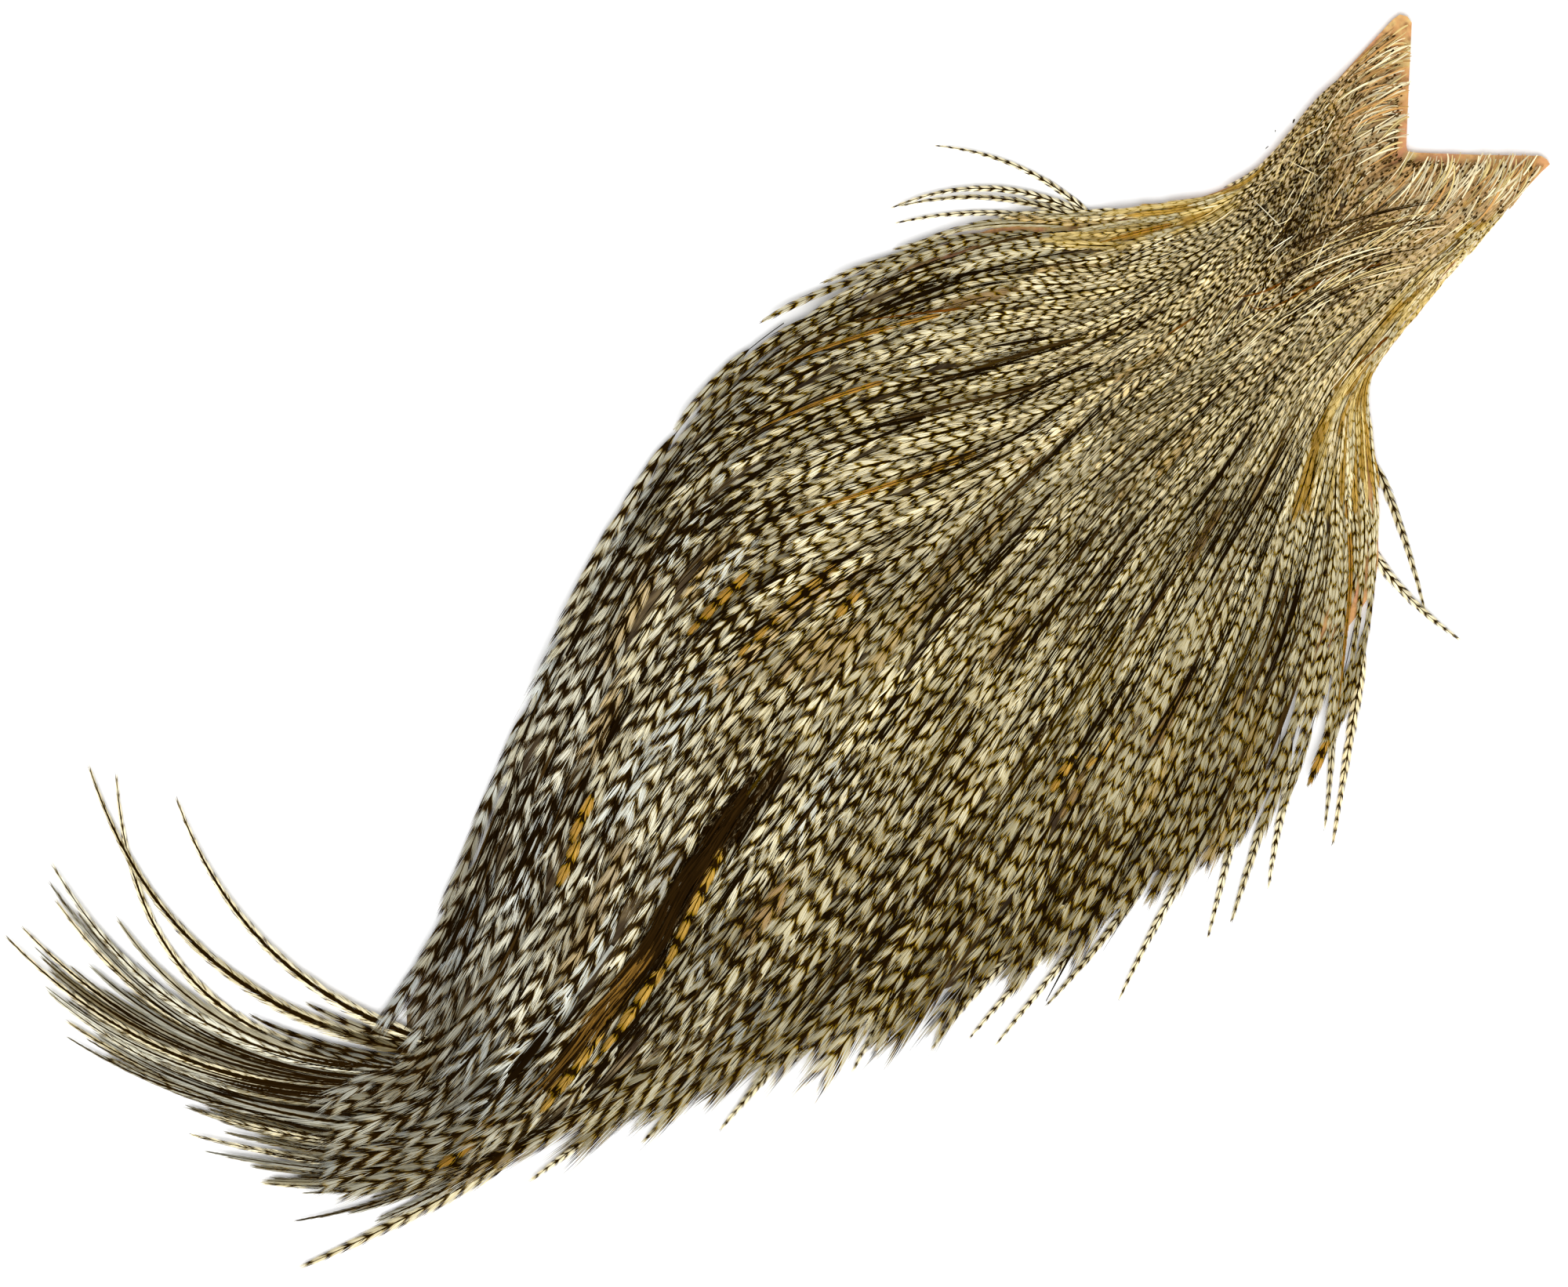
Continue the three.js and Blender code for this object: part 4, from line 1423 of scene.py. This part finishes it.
@dataclass
class EarHair(Assembly):
    """Fine pale hairs that curve from the notch over the ears, and the flecks and hairs of the crown."""

    coat: Coat
    arcs: int = 230
    flecks: int = 800
    crown_flecks: int = 380
    head_hairs: int = 280
    sweeps: int = 70
    strays: int = 14
    seed: int = 31
    apex: Pair = (0.3, 120.6)
    ears: tuple[Pair, Pair] = ((-19.4, 139.7), (20.0, 141.2))

    def __post_init__(self) -> None:
        """Seed the hairs and start their mesh."""
        self.random = np.random.default_rng(self.seed)
        self.mesh = HackleMesh(700)

    def arc(self, k: int) -> np.ndarray:
        """The curve of one hair, in mm, over the left ear and the right one in turn."""
        random = self.random
        apex = np.array(self.apex)
        ear = np.array(self.ears[k % 2])
        edge = ear - apex
        edge /= np.linalg.norm(edge)
        inward = np.array([edge[1], -edge[0]]) if k % 2 else np.array([-edge[1], edge[0]])
        far = random.uniform(0.001, 1.0) ** 0.7
        length = random.uniform(5, 15) * (1 - 0.4 * far)
        start = apex + (ear - apex) * far + inward * (random.uniform(0, 9) * random.uniform(0.05, 1) - 0.2)
        turn = random.normal(-0.15, 0.25)
        way = inward * math.cos(turn) + edge * math.sin(turn)
        home = np.array([random.normal(-0.1 if k % 2 == 0 else 0.1, 0.12), -1.0])
        bend = start + way * length * 0.45
        end = bend + home * length * 0.75
        u = np.linspace(0, 1, 7)[:, None]
        return (1 - u) ** 2 * start + 2 * u * (1 - u) * bend + u ** 2 * end

    def add_arcs(self) -> None:
        """Add the pale hairs over the ears, but for those that would leave the hide."""
        random = self.random
        for k in range(self.arcs):
            line = self.arc(k)
            s, _ = self.coat.flow.locate(line)
            if s.min() < 0.004 or s.max() > 0.996:
                continue
            lift = 0.1 + 0.35 * np.sin(np.linspace(0, 3, len(line))) * random.random()
            tint = random.choice([Tint.WARM, Tint.STRAW, Tint.FAWN, Tint.WARM])
            colour = scaled(tint.value, random.uniform(0.5, 0.92))
            line = self.coat.drape(line, lift, HIDE_TOP)
            self.mesh.hair(line, random.uniform(0.2, 0.45), colour, random.random())

    def add_flecks(self) -> None:
        """Add the brown flecks of the head, then the dark ones of the crown."""
        random = self.random
        flow = self.coat.flow
        for _ in range(self.flecks):
            s, distance = random.uniform(0.01, 0.99), random.uniform(1.5, 1.5 + 36 * random.random())
            t = (distance + np.linspace(0, random.uniform(0.5, 0.9), 3)) / float(flow.length(s))
            line = self.coat.lay(np.full(3, s), t, 0.2, floor=HIDE_TOP)
            width = random.uniform(0.25, 0.5)
            self.mesh.hair(line, width, scaled(Tint.UMBER.value, random.uniform(0.3, 1.3)), 0.5)
        for _ in range(self.crown_flecks):
            down, out = random.normal(0, 9), random.normal(0, 4.2)
            start = np.array(CROWN) + down * np.array(CROWN_WAY) + out * np.array(CROWN_SIDE)
            way = np.array([0.3, -0.95]) + random.normal(0, 0.35, 2)
            line = start + way * np.linspace(0, random.uniform(0.6, 1.5), 3)[:, None]
            line = self.coat.drape(line, random.uniform(0.15, 0.5))
            width = random.uniform(0.22, 0.45)
            self.mesh.hair(line, width, scaled(Tint.DARK.value, random.uniform(0.4, 1.6)), 0.5)

    def add_head_hairs(self) -> None:
        """Add the fine hairs that run with the small hackles of the head."""
        random = self.random
        tints = [Tint.WARM, Tint.STRAW, Tint.TAN, Tint.STRAW, Tint.DARK, Tint.UMBER, Tint.BROWN]
        for _ in range(self.head_hairs):
            s, distance = random.uniform(0.02, 0.98), random.uniform(8, 55)
            t = (distance + np.linspace(0, random.uniform(3, 8), 7)) / float(self.coat.flow.length(s))
            across = np.clip(self.coat.follow(s, t, random.normal(0, 0.02)), 0.01, 0.99)
            line = self.coat.lay(across, t, random.uniform(0.0, 0.3), floor=HIDE_TOP)
            tint = random.choice(tints).value
            self.mesh.hair(line, random.uniform(0.12, 0.22), tint, random.random())

    def add_sweeps(self) -> None:
        """Add the dark hairs that sweep from the right ear down to the neck."""
        random = self.random
        tints = [Tint.DARK] * 5 + [Tint.UMBER] * 2 + [Tint.BROWN, Tint.WARM, Tint.STRAW]
        for _ in range(self.sweeps):
            v = random.uniform(-1, 1)
            start = np.array([18.9, 114.6]) + v * np.array([3.0, -9.0])
            end = np.array([3.9, 77.6]) + v * np.array([7.0, -6.0]) + random.normal(0, 1, 2)
            near = random.uniform(0.02, 0.7)
            u = np.linspace(near, min(near + random.uniform(0.2, 0.6), 1), 9)[:, None]
            line = start + (end - start) * u + np.array([-2.2, 0.9]) * np.sin(np.pi * u)
            line = self.coat.drape(line, random.uniform(0.1, 0.4), HIDE_TOP)
            tint = random.choice(tints).value
            self.mesh.hair(line, random.uniform(0.14, 0.3), tint, random.random())

    def add_strays(self) -> None:
        """Add the few pale hairs that lie across the crown."""
        random = self.random
        for _ in range(self.strays):
            start = np.array([random.normal(-2.5, 4.0), random.normal(100, 8)])
            way = random.normal(0, 0.7, 2) + np.array([0, -1.2])
            way /= np.linalg.norm(way)
            line = start + way * np.linspace(0, random.uniform(3, 8), 7)[:, None]
            line[:, 0] += random.normal(0, 0.8) * np.linspace(0, 1, 7) ** 2
            line = self.coat.drape(line, 0.5 + 0.3 * random.random())
            tint = random.choice([Tint.CREAM, Tint.WARM, Tint.ASH])
            colour = scaled(tint.value, random.uniform(0.7, 1.0))
            self.mesh.hair(line, random.uniform(0.14, 0.24), colour, random.random())

    def build(self) -> None:
        """Build the hairs as one piece."""
        self.add_arcs()
        self.add_flecks()
        self.add_head_hairs()
        self.add_sweeps()
        self.add_strays()
        piece = self.mesh.finish("ear_hair")
        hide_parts("coat")
        self.pieces.append(piece)


@dataclass
class Hide(Assembly):
    """The tanned neck skin: two ears and a notch, a narrow neck, broad shoulders, a rounded end."""

    slot: ClassVar[str] = "hide"
    thickness: float = 1.2
    rim: float = 0.18
    side: tuple[Pair, ...] = (
        (-22.6, 137.1), (-20.6, 116), (-18.6, 91), (-31.5, 64.5), (-48, 41), (-53.5, 14), (-50, -15),
        (-39, -49), (-18, -77), (8, -85), (33, -69), (51, -35), (62, 4), (67.5, 35), (63.5, 54.5), (46, 69),
        (30.4, 80), (26.2, 99), (22.6, 139))
    notch: tuple[Pair, ...] = (
        (22.6, 141.4), (21.4, 141.6), (20, 141.2), (10.5, 131), (1.4, 121.6), (0.3, 120.8), (-0.8, 121.4),
        (-10, 130.4), (-19.4, 139.7), (-21, 139.9), (-22.4, 139))

    def outline(self) -> np.ndarray:
        """The edge of the hide, in mm."""
        return np.vstack([smooth_line(np.array(self.side, float), 120), np.array(self.notch, float)])

    def build(self) -> None:
        """Build the hide from a disc that is drawn out to the outline, thickened and rounded."""
        outline = self.outline()
        bpy.ops.object.select_all(action="DESELECT")
        bpy.ops.mesh.primitive_circle_add(vertices=len(outline), radius=0.05, fill_type="NGON")
        piece = bpy.context.object
        piece.name = "hide"
        for vertex, (x, y) in zip(piece.data.vertices, outline):
            vertex.co = (x * MM, y * MM, 0)
        bpy.ops.object.mode_set(mode="EDIT")
        bpy.ops.mesh.select_all(action="SELECT")
        bpy.ops.mesh.extrude_region_move(TRANSFORM_OT_translate={"value": (0, 0, self.thickness * MM)})
        bpy.ops.mesh.inset(thickness=self.rim * MM, depth=0)
        bpy.ops.mesh.inset(thickness=self.rim * 2 * MM, depth=self.rim * 0.4 * MM)
        bpy.ops.mesh.select_all(action="SELECT")
        bpy.ops.mesh.normals_make_consistent(inside=False)
        bpy.ops.mesh.quads_convert_to_tris()
        bpy.ops.object.mode_set(mode="OBJECT")
        bpy.ops.object.shade_smooth_by_angle(angle=math.radians(40))
        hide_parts("skin")
        self.pieces.append(piece)


@dataclass
class UnderDown(Assembly):
    """The soft mass of down and quills that the hackles lie on."""

    slot: ClassVar[str] = "brown_hackle"
    coat: Coat
    across: int = 44
    along: int = 76
    hide_top: float = 1.35
    hide_end: float = 150.0

    def build(self) -> None:
        """Build the mass from a grid laid on the flow, raised to just under the hackles."""
        coat = self.coat
        bpy.ops.object.select_all(action="DESELECT")
        bpy.ops.mesh.primitive_grid_add(x_subdivisions=self.across, y_subdivisions=self.along, size=1)
        piece = bpy.context.object
        piece.name = "under_down"
        bpy.ops.object.mode_set(mode="EDIT")
        bpy.ops.mesh.select_all(action="SELECT")
        bpy.ops.mesh.extrude_region_move(TRANSFORM_OT_translate={"value": (0, 0, 1)})
        bpy.ops.object.mode_set(mode="OBJECT")
        place = np.zeros(len(piece.data.vertices) * 3)
        piece.data.vertices.foreach_get("co", place)
        place = place.reshape(-1, 3)
        raised = place[:, 2] > 0.5
        rim = (np.abs(place[:, 0]) > 0.499) | (np.abs(place[:, 1]) > 0.499)
        s = 0.045 + 0.91 * (place[:, 0] + 0.5)
        t = 0.03 + 0.925 * (0.5 - place[:, 1])
        distance = t * coat.flow.length(s)
        top = coat.mound.height(s, t)
        floor = coat.grade(coat.floors, distance)
        depth = np.minimum(coat.grade(coat.depths, distance), np.maximum(top - floor, 0.1))
        low = self.hide_top * (distance < self.hide_end)
        inner = np.maximum(top - 1.05 * depth - 0.3, low + 0.2)
        lift = np.where(raised, np.where(rim, low + 0.15, inner), low + 0.05)
        points = np.column_stack([coat.flow.plan(s, t), lift])
        piece.data.vertices.foreach_set("co", (points * MM).ravel())
        bpy.ops.object.mode_set(mode="EDIT")
        bpy.ops.mesh.select_all(action="SELECT")
        bpy.ops.mesh.normals_make_consistent(inside=False)
        bpy.ops.object.mode_set(mode="OBJECT")
        bpy.ops.object.shade_smooth()
        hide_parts("coat")
        self.pieces.append(piece)


@dataclass
class Studio:
    """The white table, the light and the camera over the cape."""

    roll: float = 48.0
    middle: Pair = (-10.6, -47.6)
    frame_width: float = 333.3
    distance: float = 1.25
    sensor: float = 36.0
    sky: float = 0.7
    sun_turn: tuple[float, float, float] = (36, 0, 48)
    sun_strength: float = 2.75
    sun_spread: float = 50.0

    def build(self) -> None:
        """Set up the table, the light and the camera."""
        scene = bpy.context.scene
        bpy.ops.object.select_all(action="DESELECT")
        bpy.ops.mesh.primitive_plane_add(size=6, location=(0, 0, -0.0002))
        floor = bpy.context.object
        floor.name = "table"
        graph = Graph("white_table")
        floor.data.materials.append(graph.surface({"Base Color": (0.96, 0.96, 0.96, 1), "Roughness": 0.9}))
        world = bpy.data.worlds.new("studio")
        world.use_nodes = True
        background = world.node_tree.nodes["Background"]
        background.inputs["Color"].default_value = (1.0, 1.0, 1.0, 1)
        background.inputs["Strength"].default_value = self.sky
        scene.world = world
        light = bpy.data.lights.new("key", "SUN")
        light.energy = self.sun_strength
        light.angle = math.radians(self.sun_spread)
        lamp = bpy.data.objects.new("key", light)
        lamp.rotation_euler = [math.radians(v) for v in self.sun_turn]
        bpy.context.collection.objects.link(lamp)
        camera = bpy.data.objects.new("camera", bpy.data.cameras.new("camera"))
        camera.data.sensor_width = self.sensor
        camera.data.lens = self.sensor * self.distance / (self.frame_width * MM)
        camera.location = (self.middle[0] * MM, self.middle[1] * MM, self.distance)
        camera.rotation_euler = (0, 0, math.radians(self.roll))
        bpy.context.collection.objects.link(camera)
        scene.camera = camera
        scene.view_settings.view_transform = "Standard"


def main() -> None:
    """Build the cape, piece by piece, and the studio around it."""
    logging.basicConfig(level=logging.INFO)
    coat = Coat(Flow(), Mound())
    loose = LooseHackles()
    hackle = HackleFinish().make()
    hide = HideFinish().make()
    down = DownFinish().make()
    for assembly, material in ((Hide(), hide), (UnderDown(coat), down), (coat, hackle), (loose, hackle),
                               (TailFan(loose), hackle), (Accents(coat), hackle), (EarHair(coat), hackle)):
        assembly.build()
        assembly.dress(material)
    Studio().build()


if __name__ == "__main__":
    main()
